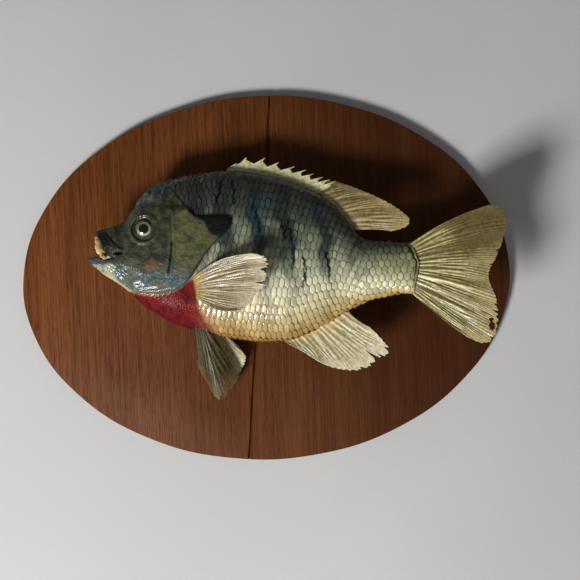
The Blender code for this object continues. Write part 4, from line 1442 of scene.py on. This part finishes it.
    def build(self) -> None:
        """Makes every fin."""
        self.spiny_dorsal()
        plans = [self.soft_dorsal(), self.anal(), self.tail()]
        plans += [maker(flank) for maker in (self.pectoral, self.pelvic) for flank in Flank]
        for plan in plans:
            plan.build()


# ---------------------------------------------------------------- head fittings


@dataclass
class Eye:
    """A glass eye: a dark ball painted with a pupil and a silver ring, under clear glass."""

    form: FishForm
    flank: Flank
    at: tuple[float, float] = (-69.2, 31.0)
    radius: float = 6.6
    bulge: float = 2.0
    pupil: float = 2.7
    ring: float = 4.7
    squash: tuple[float, float, float] = (1.0, 0.94, 0.97)

    def material(self) -> bpy.types.Material:
        """The paint behind the glass."""
        name = f"eye_{self.flank.name.lower()}_glass"
        kit = Kit(name, 0.12, Coat_Weight=1.0, Coat_Roughness=0.02, Coat_IOR=1.5)
        across, up = kit.axis("X") - self.at[0], kit.axis("Z") - self.at[1]
        angle = kit.math("ARCTAN2", up, across)
        gap = (across * across + up * up * 1.04) ** 0.5
        flecks = kit.noise(900, 4)
        spokes = kit.math("SINE", angle * 34.0 + flecks * 9.0) * 0.5 + 0.5
        wobble = gap + (kit.noise(260, 2) - 0.5) * 0.5
        silver = kit.mix((0.17, 0.15, 0.085), (0.50, 0.46, 0.30), flecks.step(0.52, 0.66))
        silver = kit.mix(silver, (0.80, 0.76, 0.58), wobble.step(self.pupil + 1.6, self.pupil + 0.9))
        dim = kit.math("COSINE", angle - 2.6) * 0.5 + 0.5
        silver = kit.mix(silver, (0.10, 0.09, 0.06), dim.step(0.70, 1.0) * 0.8)
        iris = kit.mix((0.012, 0.012, 0.008), (0.045, 0.04, 0.022), spokes * 0.7)
        colour = kit.mix(iris, silver, wobble.step(self.ring + 0.35, self.ring - 0.25))
        colour = kit.mix(colour, (0.30, 0.22, 0.08), wobble.step(self.pupil + 0.9, self.pupil + 0.25) * 0.7)
        colour = kit.mix(colour, (0.004, 0.004, 0.004), gap.step(self.pupil + 0.3, self.pupil))
        metal = wobble.step(self.ring + 0.3, self.ring - 0.3) * gap.step(self.pupil, self.pupil + 0.3)
        kit.wear(Base_Color=colour, Metallic=metal * 0.35)
        return kit.material

    def build(self) -> bpy.types.Object:
        """Makes the eye from a sphere whose pole looks out of the head."""
        x, z = self.at
        side = self.flank.value * (float(self.form.flank(x, z)) + self.bulge - self.radius)
        centre = Vector((x, self.form.face_y - float(self.form.middle(x)) - side, z)) * MM
        Bench.clear()
        bpy.ops.mesh.primitive_uv_sphere_add(
            segments=64, ring_count=40, radius=self.radius * MM, location=centre, rotation=(math.pi / 2, 0, 0)
        )
        piece = Bench.added(f"eye_glass_{self.flank.name.lower()}")
        with Bench.editing(piece):
            bpy.ops.transform.resize(value=self.squash, center_override=centre)
        Bench.settle(piece)
        Bench.smooth(piece)
        node = "eye_left" if self.flank is Flank.NEAR else "eye_right"
        return deliver(piece, self.material(), [node])


@dataclass
class MouthLining:
    """The dried, ragged pad of tan skin inside the upper lip."""

    form: FishForm
    arch: tuple[tuple[float, float, float], ...] = (
        (-94.4, 5.4, 16.2), (-95.4, 5.8, 17.6), (-96.2, 5.8, 20.4), (-96.5, 5.0, 23.6), (-96.8, 3.4, 26.6),
        (-96.9, 1.6, 28.2), (-96.9, 0, 28.6),
    )
    width: float = 2.6
    thickness: float = 1.3

    def material(self) -> bpy.types.Material:
        """Cream and tan membrane with darker hollows."""
        kit = Kit("mouth_lining_skin", 0.5, Coat_Weight=0.25, Coat_Roughness=0.25, Specular_IOR_Level=0.25)
        lumps, fine = kit.noise(330, 4), kit.noise(1100, 3)
        colour = kit.ramp(lumps, (
            (0.30, (0.22, 0.10, 0.02)), (0.42, (0.58, 0.32, 0.09)), (0.52, (0.76, 0.54, 0.25)),
            (0.66, (0.88, 0.75, 0.49)),
        ))
        colour = kit.mix(colour, (0.08, 0.04, 0.012), kit.cells(420).step(0.8, 1.15) * 0.5)
        kit.wear(Base_Color=colour, Roughness=fine * 0.5 + 0.2)
        kit.bump((lumps, 0.5), (fine, 0.15))
        return kit.material

    def build(self) -> bpy.types.Object:
        """Makes the pad as a lumpy band along the arch, and ragged crumbs at its near foot."""
        half = np.array(self.arch)
        whole = np.vstack([half, (half[:-1] * (1, -1, 1))[::-1]])
        run = np.r_[0.0, np.cumsum(np.linalg.norm(np.diff(whole, axis=0), axis=1))]
        piece, u, v = Bench.grid("mouth_lining_pad", 110, 30)
        at = u * run[-1]
        path = sum(
            np.stack([np.interp(np.clip(at + gap, 0, run[-1]), run, whole[:, i]) for i in range(3)], -1)
            for gap in (0, -2, 2)
        ) / 3
        angle = math.tau * v
        end = np.clip(np.minimum(u, 1 - u) * 14, 0, 1) ** 0.5
        swing = np.interp(at, run, np.linspace(1, -1, len(whole)))
        across = np.stack([np.zeros(len(u)), swing, 1 - np.abs(swing)], -1)
        across /= np.linalg.norm(across, axis=1)[:, None]
        flat = path + np.stack([np.cos(angle), 0 * angle, 0 * angle], -1) * (self.width * end)[:, None]
        flat += across * (np.sin(angle) * self.thickness * end)[:, None]
        rough = 0.75 * grain(flat, 3.0) + 0.25 * grain(flat, 1.2, 4.0)
        flat += (flat - path) * (rough * 0.26)[:, None]
        Bench.place(piece, self.form.world(flat))
        Bench.close(piece)
        pieces = [piece] + [self.crumb(k) for k in range(9)]
        pad = Bench.join("mouth_lining_pad", pieces)
        Bench.smooth(pad)
        return deliver(pad, self.material(), ["mouth_lining"])

    def crumb(self, k: int) -> bpy.types.Object:
        """A ragged scrap of membrane by the corner of the mouth."""
        rng = random.Random(40 + k)
        share = k / 8
        height = 16.4 - 1.6 * share + rng.uniform(-0.7, 0.7)
        centre = Vector((-95.4 + 5.6 * share, 7.4 + rng.uniform(-0.5, 0.6), height))
        Bench.clear()
        bpy.ops.mesh.primitive_ico_sphere_add(subdivisions=3, radius=rng.uniform(0.7, 1.15))
        piece = Bench.added(f"crumb_{k}")
        with Bench.editing(piece):
            bpy.ops.transform.resize(value=(rng.uniform(0.9, 1.5), 0.5, rng.uniform(0.7, 1.2)))
        local = np.array([vertex.co for vertex in piece.data.vertices])
        local *= 1 + 0.5 * grain(local + k * 7.0, 0.9)[:, None]
        Bench.place(piece, self.form.world(local + np.array(centre)))
        return piece


# ---------------------------------------------------------------- fish paint


@dataclass(frozen=True)
class FishPaint:
    """The painted and varnished skin, the same on the skin and on every scale."""

    gloss: float = 0.46
    black: Colour = (0.006, 0.006, 0.005)
    slate: Colour = (0.035, 0.030, 0.040)
    pale: Stops = (
        (0.0, (0.42, 0.24, 0.062)), (0.07, (0.58, 0.42, 0.17)), (0.17, (0.66, 0.60, 0.37)),
        (0.33, (0.80, 0.79, 0.58)), (0.51, (0.50, 0.52, 0.35)), (0.66, (0.25, 0.29, 0.20)),
        (0.78, (0.068, 0.085, 0.066)), (0.90, (0.062, 0.061, 0.047)),
    )
    dark: Stops = (
        (0.0, (0.40, 0.22, 0.055)), (0.08, (0.47, 0.34, 0.13)), (0.28, (0.62, 0.60, 0.42)),
        (0.42, (0.26, 0.30, 0.22)), (0.55, (0.060, 0.088, 0.074)), (0.72, (0.035, 0.046, 0.042)),
        (0.88, (0.038, 0.039, 0.032)),
    )

    def body(self, kit: Kit, x: Wire, height: Wire, cloud: Wire, fine: Wire) -> Wire:
        """The trunk: ochre and cream below, olive and blue-black above, with dark bars and a red throat."""
        bars = (kit.mark("bar") + (kit.noise(38, 3) - 0.5) * 0.9).step(0.22, 0.78)
        stem = kit.mix((0.36, 0.35, 0.17), (0.045, 0.055, 0.035), height.step(0.62, 0.95))
        blue = kit.noise(60, 2, kit.place(shift=(0.4, 0.2, 0.1))).step(0.53, 0.68)
        rust = kit.noise(95, 4, kit.place(shift=(0.1, 0.5, 0.3)))
        blotches = (cloud * 0.6 + fine * 0.4).step(0.42, 0.62)
        red = kit.mix((0.205, 0.009, 0.012), (0.085, 0.0045, 0.006), blotches)
        red = kit.mix(red, (0.50, 0.21, 0.10), x.step(-46.0, -32.0) * fine.step(0.35, 0.7) * 0.8)
        return kit.over(
            kit.ramp(height, self.pale),
            (kit.ramp(height, self.dark), bars),
            (stem, x.step(48.0, 78.0) * height.step(0.08, 0.34) * 0.7),
            ((0.035, 0.085, 0.12), blue * height.step(0.48, 0.6) * height.step(0.94, 0.8) * 0.5),
            ((0.40, 0.21, 0.055), (rust * 0.6 + fine * 0.4).step(0.50, 0.64) * height.step(0.20, 0.02) * 0.45),
            (red, kit.mark("throat")),
        )

    def head(self, kit: Kit, cloud: Wire, fine: Wire) -> Wire:
        """The bare head: black-olive above, olive on the gill cover, blue and cream below."""
        x, z = kit.axis("X"), kit.axis("Z")
        mottle = kit.noise(240, 4, kit.place(shift=(0.2, 0.1, 0.6)))
        teal = kit.noise(120, 3, kit.place(shift=(0.9, 0.3, 0.2))).step(0.47, 0.66)
        dark = kit.mix((0.032, 0.033, 0.021), (0.078, 0.077, 0.044), mottle.step(0.4, 0.66))
        olive = kit.mix((0.135, 0.132, 0.052), (0.060, 0.068, 0.030), mottle.step(0.42, 0.66))
        lower = kit.mix((0.115, 0.135, 0.090), (0.042, 0.098, 0.125), (cloud + (mottle - 0.5)).step(0.42, 0.62))
        # Painted glints: pale blue-grey flecks over the lower cheek's blue.
        lower = kit.mix(lower, (0.26, 0.31, 0.29), (fine * 0.7 + cloud * 0.3).step(0.50, 0.64) * 0.7)
        jaw = kit.mix((0.40, 0.46, 0.38), (0.12, 0.15, 0.13), (mottle * 0.5 + fine * 0.5).step(0.47, 0.58))
        jaw = kit.mix(jaw, (0.44, 0.41, 0.26), (mottle + (cloud - 0.5)).step(0.52, 0.42) * 0.8)
        patches = (mottle * 0.6 + fine * 0.4).step(0.46, 0.62)
        crown = kit.mix((0.044, 0.050, 0.046), (0.130, 0.138, 0.112), patches)
        return kit.over(
            kit.mix(dark, olive, kit.mark("opercle")),
            (lower, (z + x * 0.20 + (cloud - 0.5) * 9.0).step(-0.5, -9.5)),
            ((0.040, 0.085, 0.120), teal * kit.mark("opercle") * z.step(17.0, 6.0) * 0.8),
            ((0.17, 0.075, 0.028), kit.mark("rust") * mottle.step(0.36, 0.6) * 0.85),
            (jaw, kit.mark("jaw") * 0.95),
            ((0.62, 0.50, 0.27), (kit.mark("chin") + (fine - 0.5) * 1.1).step(0.4, 0.9) * 0.8),
            (self.slate, kit.mark("jaw_top") * kit.mark("jaw") * 0.92),
            ((0.45, 0.40, 0.25), (kit.mark("knob_row") * (fine + 0.4)).step(0.35, 0.8) * 0.85),
            ((0.007, 0.007, 0.006), kit.mark("lip_band") * 0.93),
            # Painted highlight along the upper lip.
            ((0.42, 0.42, 0.38), kit.mark("gleam").step(0.4, 1.0) * 0.5),
            # Painted highlight on the eyelid's ridge.
            ((0.20, 0.19, 0.11), kit.mark("eyelid").step(0.35, 1.0) * 0.7),
            (crown, (z - x * 0.25 + (cloud - 0.5) * 8.0).step(60.0, 66.0)),
        )

    def material(self) -> bpy.types.Material:
        """Mixes the markings that the mesh carries into one varnished finish."""
        kit = Kit(
            "painted_skin", self.gloss,
            Specular_IOR_Level=0.22, Coat_Weight=0.6, Coat_Roughness=0.11, Coat_IOR=1.5,
        )
        x, cloud, fine = kit.axis("X"), kit.noise(150, 4), kit.noise(650, 3)
        height = kit.mark("height") + (cloud - 0.5) * 0.16
        throat, flap, lip, jaw = (kit.mark(name) for name in ("throat", "flap", "lip", "jaw"))
        chance = kit.mark("chance") - 0.5
        scaled = kit.mark("head").step(0.9, 0.2)
        stump = kit.mix((0.24, 0.21, 0.085), (0.44, 0.40, 0.20), fine.step(0.45, 0.65))
        colour = kit.over(
            self.body(kit, x, height, cloud, fine),
            (self.head(kit, cloud, fine), kit.mark("head")),
            ((0.006, 0.0065, 0.005), flap * 0.98),
            ((0.20, 0.17, 0.11), (kit.mark("pale_knob") * fine * 2.0).step(0.4, 0.9) * 0.8),
            (stump, kit.mark("stump") * (1 - kit.mark("rim"))),
            ((0.010, 0.010, 0.008), lip.step(0.05, 0.5) * jaw.step(0.7, 0.2)),
            (self.slate, lip.step(0.75, 0.95) * jaw.step(0.4, 0.7)),
            ((0.10, 0.05, 0.025), kit.mark("mouth")),
        )
        tint = kit.mix((0.80, 0.80, 0.80), (1.16, 1.16, 1.12), (chance + 0.5).step(0.0, 1.0))
        colour = kit.mix(colour, tint, scaled, "MULTIPLY")
        # Painted shade between the scales: each scale darkens towards its rim, less so on the pale lower flank.
        rim = (kit.mark("rim") + (fine - 0.5) * 0.4 + chance * 0.4).step(0.3, 0.95)
        outline = kit.mix((0.12, 0.12, 0.11), (0.55, 0.50, 0.36), height.step(0.55, 0.2))
        colour = kit.mix(colour, outline, rim * 0.85 * scaled, "MULTIPLY")
        speck = kit.cells(1500).step(0.22, 0.1) * cloud.step(0.5, 0.6)
        sore = x.step(-24.0, -40.0) * height.step(0.42, 0.12) * scaled
        colour = kit.over(
            # Painted shade: grooves, pits, the mouth's corner, the eye's socket and the cracks are darkened
            # towards black.
            kit.mix(self.black, colour, 1 - kit.mark("crease").step(0.15, 0.9) * 0.92),
            # Painted shade: a dark line in the gill opening, under the cover's edge.
            ((0.010, 0.010, 0.009), kit.mark("edge").step(0.25, 0.9) * 0.8 * throat.step(0.6, 0.2)),
            ((0.02, 0.02, 0.016), speck * 0.35 * height.step(0.2, 0.5)),
            ((0.34, 0.16, 0.085), sore * (fine * 0.5 + cloud * 0.5).step(0.40, 0.56) * 0.6 * (1 - throat)),
        )
        warm = x.step(4.0, -34.0) * kit.mark("height").step(0.40, 0.12) * scaled * (1 - throat)
        colour = kit.mix(colour, (0.86, 0.68, 0.48), warm * 0.45, "MULTIPLY")
        silver = height.step(0.12, 0.3) * height.step(0.72, 0.45) * scaled
        kit.wear(
            Base_Color=colour,
            Roughness=fine * 0.28 + cloud * 0.16 + self.gloss - 0.22 + throat * 0.26 + flap * 0.2,
            Coat_Weight=0.6 - throat * 0.56 - kit.mark("head") * 0.22 - kit.mark("eyelid") * 0.45 - flap * 0.4,
            Metallic=silver * 0.22 * (1 - throat) + throat * 0.55,
        )
        rings = kit.math("SINE", kit.mark("rim") * 26.0) * 0.5 + 0.5
        wrinkles = kit.noise(1000, 4, kit.place(shift=(0.7, 0.2, 0.4))) * kit.mark("head")
        lumps = kit.noise(620, 3, kit.place(shift=(0.3, 0.8, 0.1))) * kit.mark("head")
        kit.bump(
            (cloud, 0.25), (fine, 0.12), (rings * scaled, 0.02), (kit.cells(900), 0.06), (wrinkles, 0.20),
            (lumps, 0.38),
        )
        return kit.material


# ---------------------------------------------------------------- board and room


@dataclass
class Board:
    """The oval panel: an upright groove across its face, a sawn edge and a plain back."""

    low: Vector
    high: Vector
    power: float = 1.97
    segments: int = 360
    groove_width: float = 2.0
    groove_depth: float = 1.5
    groove_x: float = -4.2
    lean: float = 5.8
    eased: float = 0.45

    def material(self) -> bpy.types.Material:
        """Stained mahogany-faced plywood with open pores, with painted shade darkening it towards the right."""
        kit = Kit("stained_panel", 0.5, Specular_IOR_Level=0.14, Coat_Weight=0.02, Coat_Roughness=0.4)
        tilt = (0.0, math.radians(-self.lean), 0.0)
        wide = kit.place((1.0, 1.0, 0.07), tilt)
        thin = kit.place((1.0, 1.0, 0.022), tilt)
        bands = kit.noise(70, 4, wide, 0.55)
        streaks = kit.noise(700, 5, thin, 0.6)
        pores = kit.noise(1900, 2, kit.place((1.0, 1.0, 0.05), tilt), 0.5)
        patches = kit.noise(7, 2)
        tone = (bands - 0.5) * 0.6 + (streaks - 0.5) * 1.0 + 0.5
        colour = kit.ramp(tone, (
            (0.20, (0.096, 0.026, 0.0060)), (0.42, (0.148, 0.043, 0.010)), (0.58, (0.196, 0.062, 0.015)),
            (0.80, (0.265, 0.096, 0.026)),
        ))
        colour = kit.mix(colour, (0.045, 0.012, 0.004), pores.step(0.54, 0.68) * 0.38)
        colour = kit.mix(colour, (0.085, 0.024, 0.008), patches.step(0.45, 0.7) * 0.35)
        # Painted shade: the face darkens towards the right, away from the key light.
        colour = kit.mix(colour, (0.045, 0.012, 0.0035), kit.axis("X").step(-90.0, 140.0) * 0.8)
        y = kit.axis("Y")
        depth = y + self.high.y * -1000.0
        core = kit.math("SINE", depth * 3.5) * 0.5 + 0.5
        sawn = kit.mix((0.16, 0.085, 0.040), (0.075, 0.034, 0.015), core)
        normal = kit.node("ShaderNodeNewGeometry", out="Normal")
        normal = kit.node("ShaderNodeSeparateXYZ", {}, {0: normal}, "Y")
        facing = kit.math("ABSOLUTE", normal)
        rim = facing.step(0.5, 0.2) * depth.step(-5.2, -4.6)
        colour = kit.mix(colour, kit.mix(sawn, (0.05, 0.02, 0.01), streaks.step(0.4, 0.6) * 0.6), rim)
        plain = kit.mix((0.36, 0.22, 0.11), (0.25, 0.14, 0.065), (streaks * 0.5 + bands * 0.5).step(0.4, 0.62))
        colour = kit.mix(colour, plain, normal.step(0.6, 0.9))
        floor = depth.step(self.groove_depth - 5.2, self.groove_depth - 4.6) * depth.step(0.0, -2.2)
        floor = floor * facing.step(0.95, 0.8) * facing.step(0.45, 0.55)
        colour = kit.mix(colour, (0.010, 0.005, 0.003), floor)
        kit.wear(Base_Color=colour, Roughness=(streaks * 0.35 + 0.30))
        kit.bump((streaks, 0.10), (1 - pores.step(0.56, 0.70), 0.09))
        return kit.material

    def rim(self, angle: float) -> tuple[float, float]:
        """The hand-cut outline at an angle, in metres."""
        middle = (self.low + self.high) / 2
        half = (self.high - self.low) / 2
        cos, sin = math.cos(angle), math.sin(angle)
        wobble = 1 - 0.0016 * (1 + math.sin(5 * angle + 0.6) * math.sin(2 * angle + 1.1))
        wobble -= 0.0012 * (1 + math.sin(17 * angle))
        power = 2 / self.power
        return (
            middle.x + math.copysign(abs(cos) ** power, cos) * half.x * wobble,
            middle.z + math.copysign(abs(sin) ** power, sin) * half.z * wobble,
        )

    def build(self) -> bpy.types.Object:
        """Makes the board from a disc that is pulled out, eased and grooved."""
        Bench.clear()
        bpy.ops.mesh.primitive_circle_add(
            vertices=self.segments, radius=0.1, fill_type="NGON",
            location=(0, self.high.y, 0), rotation=(math.pi / 2, 0, 0),
        )
        board = Bench.added("oval_board")
        bpy.ops.object.transform_apply(location=True, rotation=True, scale=True)
        for vertex in board.data.vertices:
            x, z = self.rim(math.atan2(vertex.co.z, vertex.co.x))
            vertex.co = (x, self.high.y, z)
        with Bench.editing(board):
            bpy.ops.mesh.extrude_region_move(TRANSFORM_OT_translate={"value": (0, self.low.y - self.high.y, 0)})
            bpy.ops.mesh.select_all(action="SELECT")
            bpy.ops.mesh.normals_make_consistent(inside=False)
        eased = board.modifiers.new("eased", "BEVEL")
        eased.width, eased.segments = self.eased * MM, 3
        eased.limit_method, eased.angle_limit = "ANGLE", math.radians(60)
        cutters = [self.groove_cutter()] + self.pocket_cutters()
        for cutter in cutters:
            cut = board.modifiers.new(cutter.name, "BOOLEAN")
            cut.operation, cut.object, cut.solver = "DIFFERENCE", cutter, "EXACT"
        Bench.settle(board)
        for cutter in cutters:
            bpy.data.objects.remove(cutter)
        Bench.smooth(board, 35)
        return deliver(board, self.material(), ["board"])

    def groove_cutter(self) -> bpy.types.Object:
        """A three-sided bar that lies along the groove and wanders a little."""
        reach = (self.high.z - self.low.z) / 2 / MM + 8
        piece, u, v = Bench.grid("groove_cutter", 3, 90)
        z = (v * 2 - 1) * reach
        wander = 0.10 * np.sin(z * 0.11) + 0.06 * np.sin(z * 0.37)
        corner = np.rint(u * 3).astype(int) % 3
        wide = self.groove_width * (self.groove_depth + 1) / self.groove_depth / 2
        middle = self.groove_x + math.tan(math.radians(self.lean)) * z + wander
        x = middle + np.choose(corner, [-wide, wide, 0.0])
        y = self.low.y / MM + np.choose(corner, [-1.0, -1.0, self.groove_depth])
        Bench.place(piece, np.c_[x, y, z])
        Bench.close(piece)
        with Bench.editing(piece):
            bpy.ops.mesh.fill_holes(sides=0)
            bpy.ops.mesh.normals_make_consistent(inside=False)
        return piece

    def pocket_cutters(self) -> list[bpy.types.Object]:
        """The shallow pockets in the back for the hanger and the screw heads."""
        pieces = []
        low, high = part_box("hanger")
        depth, spare = 2.0 * MM, 3.0 * MM
        Bench.clear()
        middle = (low + high) / 2
        bpy.ops.mesh.primitive_cube_add(size=1, location=(middle.x, self.high.y, middle.z))
        pocket = Bench.added("hanger_pocket")
        pocket.scale = (high.x - low.x + 2 * spare, 2 * depth, high.z - low.z + 2 * spare)
        pieces.append(pocket)
        for k in (1, 2):
            low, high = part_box(f"screw_{k}")
            middle = (low + high) / 2
            Bench.clear()
            bpy.ops.mesh.primitive_cylinder_add(
                vertices=48, radius=(high.x - low.x) / 2 + 0.5 * MM, depth=2 * depth,
                location=(middle.x, self.high.y, middle.z), rotation=(math.pi / 2, 0, 0),
            )
            pieces.append(Bench.added(f"screw_pocket_{k}"))
        return pieces


@dataclass(frozen=True)
class Steel:
    """Bright, finely brushed steel."""

    colour: Colour = (0.56, 0.54, 0.50)

    def dress(self, nodes: Sequence[str]) -> None:
        """Gives the CAD nodes of the back fittings this finish."""
        kit = Kit("brushed_steel", 0.35, Metallic=1.0)
        scratches = kit.noise(300, 4, kit.place((1.0, 1.0, 14.0)))
        grime = kit.noise(90, 3)
        kit.wear(
            Base_Color=kit.mix(self.colour, (0.22, 0.19, 0.15), grime.step(0.5, 0.72) * 0.6),
            Roughness=scratches * 0.4 + 0.15,
        )
        kit.bump((scratches, 0.02))
        for name in nodes:
            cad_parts[name].material_slots[0].material = kit.material


@dataclass
class Room:
    """A pale wall behind the board, a pale floor, soft lights and the camera."""

    wall_y: float
    floor_z: float = -1.5

    def plain(self, name: str, tone: Colour, one_sided: bool = False) -> bpy.types.Material:
        """Matt paint. A one-sided wall can't be seen from behind."""
        kit = Kit(name, 0.9, Specular_IOR_Level=0.1)
        cloud = kit.noise(5, 3)
        kit.wear(Base_Color=kit.mix(tone, tuple(0.94 * c for c in tone), cloud.step(0.35, 0.65)))
        kit.bump((kit.noise(700, 2), 0.05))
        if one_sided:
            behind = kit.node("ShaderNodeNewGeometry", out="Backfacing")
            clear = kit.node("ShaderNodeBsdfTransparent")
            paint = Wire(kit, kit.shader.outputs[0])
            both = kit.node("ShaderNodeMixShader", {}, {0: behind, 1: paint, 2: clear})
            output = next(n for n in kit.nodes if n.type == "OUTPUT_MATERIAL")
            kit.feed(output.inputs["Surface"], both)
        return kit.material

    def build_surfaces(self) -> None:
        """Makes the wall and the floor."""
        for name, place, turn, tone, one_sided in (
            ("wall", (0, self.wall_y, self.floor_z + 4.5), (math.pi / 2, 0, 0), (0.74, 0.74, 0.74), True),
            ("floor", (0, self.wall_y - 4.5, self.floor_z), (0, 0, 0), (0.74, 0.73, 0.71), False),
        ):
            Bench.clear()
            bpy.ops.mesh.primitive_plane_add(size=9.0, location=place, rotation=turn)
            piece = Bench.added(name)
            if name == "wall":
                piece.visible_shadow = False
            Bench.settle(piece)
            piece.data.materials.append(self.plain(f"{name}_paint", tone, one_sided))

    def light(self, name: str, toward: Vector, place: Vector, size: float, power: float, tint: Colour) -> None:
        """A square soft light at place that faces toward."""
        data = bpy.data.lights.new(name, "AREA")
        data.shape, data.size, data.energy, data.color = "SQUARE", size, power, tint
        lamp = bpy.data.objects.new(name, data)
        bpy.context.scene.collection.objects.link(lamp)
        lamp.location = place
        lamp.rotation_euler = (toward - place).to_track_quat("-Z", "Y").to_euler()

    def build_lights(self) -> None:
        """A soft key from below left, a weak fill, and an even pale sky."""
        middle = Vector((0.0, 0.0, 0.0))
        key = Vector((-0.77, -1.0, -0.88)).normalized() * 1.35
        self.light("key", middle, middle + key, 0.34, 16.5, (1.0, 0.99, 0.97))
        self.light("back_fill", middle, Vector((1.2, 1.8, 1.0)), 1.5, 34.0, (1.0, 1.0, 1.0))
        world = bpy.data.worlds.new("pale_sky")
        world.use_nodes = True
        sky = world.node_tree.nodes["Background"]
        sky.inputs["Color"].default_value = (0.86, 0.88, 0.90, 1.0)
        sky.inputs["Strength"].default_value = 0.12
        bpy.context.scene.world = world

    def build_camera(self) -> None:
        """A camera level with the board, square to it and turned a little clockwise."""
        turn = math.radians(2.5)
        right = Vector((math.cos(turn), 0, -math.sin(turn)))
        up = Vector((math.sin(turn), 0, math.cos(turn)))
        pose = Matrix((right, up, Vector((0, -1, 0)))).transposed().to_4x4()
        pose.translation = Vector((0.0143, -0.5255, -0.0083))
        data = bpy.data.cameras.new("camera")
        data.lens, data.sensor_width, data.clip_start = 51.7, 36.0, 0.01
        camera = bpy.data.objects.new("camera", data)
        bpy.context.scene.collection.objects.link(camera)
        camera.matrix_world = pose
        bpy.context.scene.camera = camera

    def build(self) -> None:
        """Makes the room."""
        self.build_camera()
        self.build_surfaces()
        self.build_lights()
        bpy.context.scene.view_settings.view_transform = "Standard"


# ---------------------------------------------------------------- the whole mount


@dataclass
class MountedFish:
    """The fish, its board and the room that they hang in."""

    form: FishForm = field(init=False)
    marks: Marks = field(init=False)

    def __post_init__(self) -> None:
        """Takes the board's face from the frame."""
        self.form = FishForm(face_y=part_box("board")[0].y / MM)
        self.marks = Marks(self.form)

    def build(self) -> None:
        """Builds every piece in order."""
        board_low, board_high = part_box("board")
        Room(board_high.y + 0.0004).build()
        Board(board_low, board_high).build()
        Steel().dress([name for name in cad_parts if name.startswith(("hanger", "screw"))])
        paint = FishPaint().material()
        Skin(self.form, self.marks).build(paint)
        for flank in Flank:
            Scales(self.form, self.marks, flank).build(paint)
            Eye(self.form, flank).build()
        MouthLining(self.form).build()
        Fins(self.form).build()


def main() -> None:
    """Builds the mount."""
    logging.basicConfig(level=logging.INFO, format="%(message)s")
    MountedFish().build()


if __name__ == "__main__":
    main()
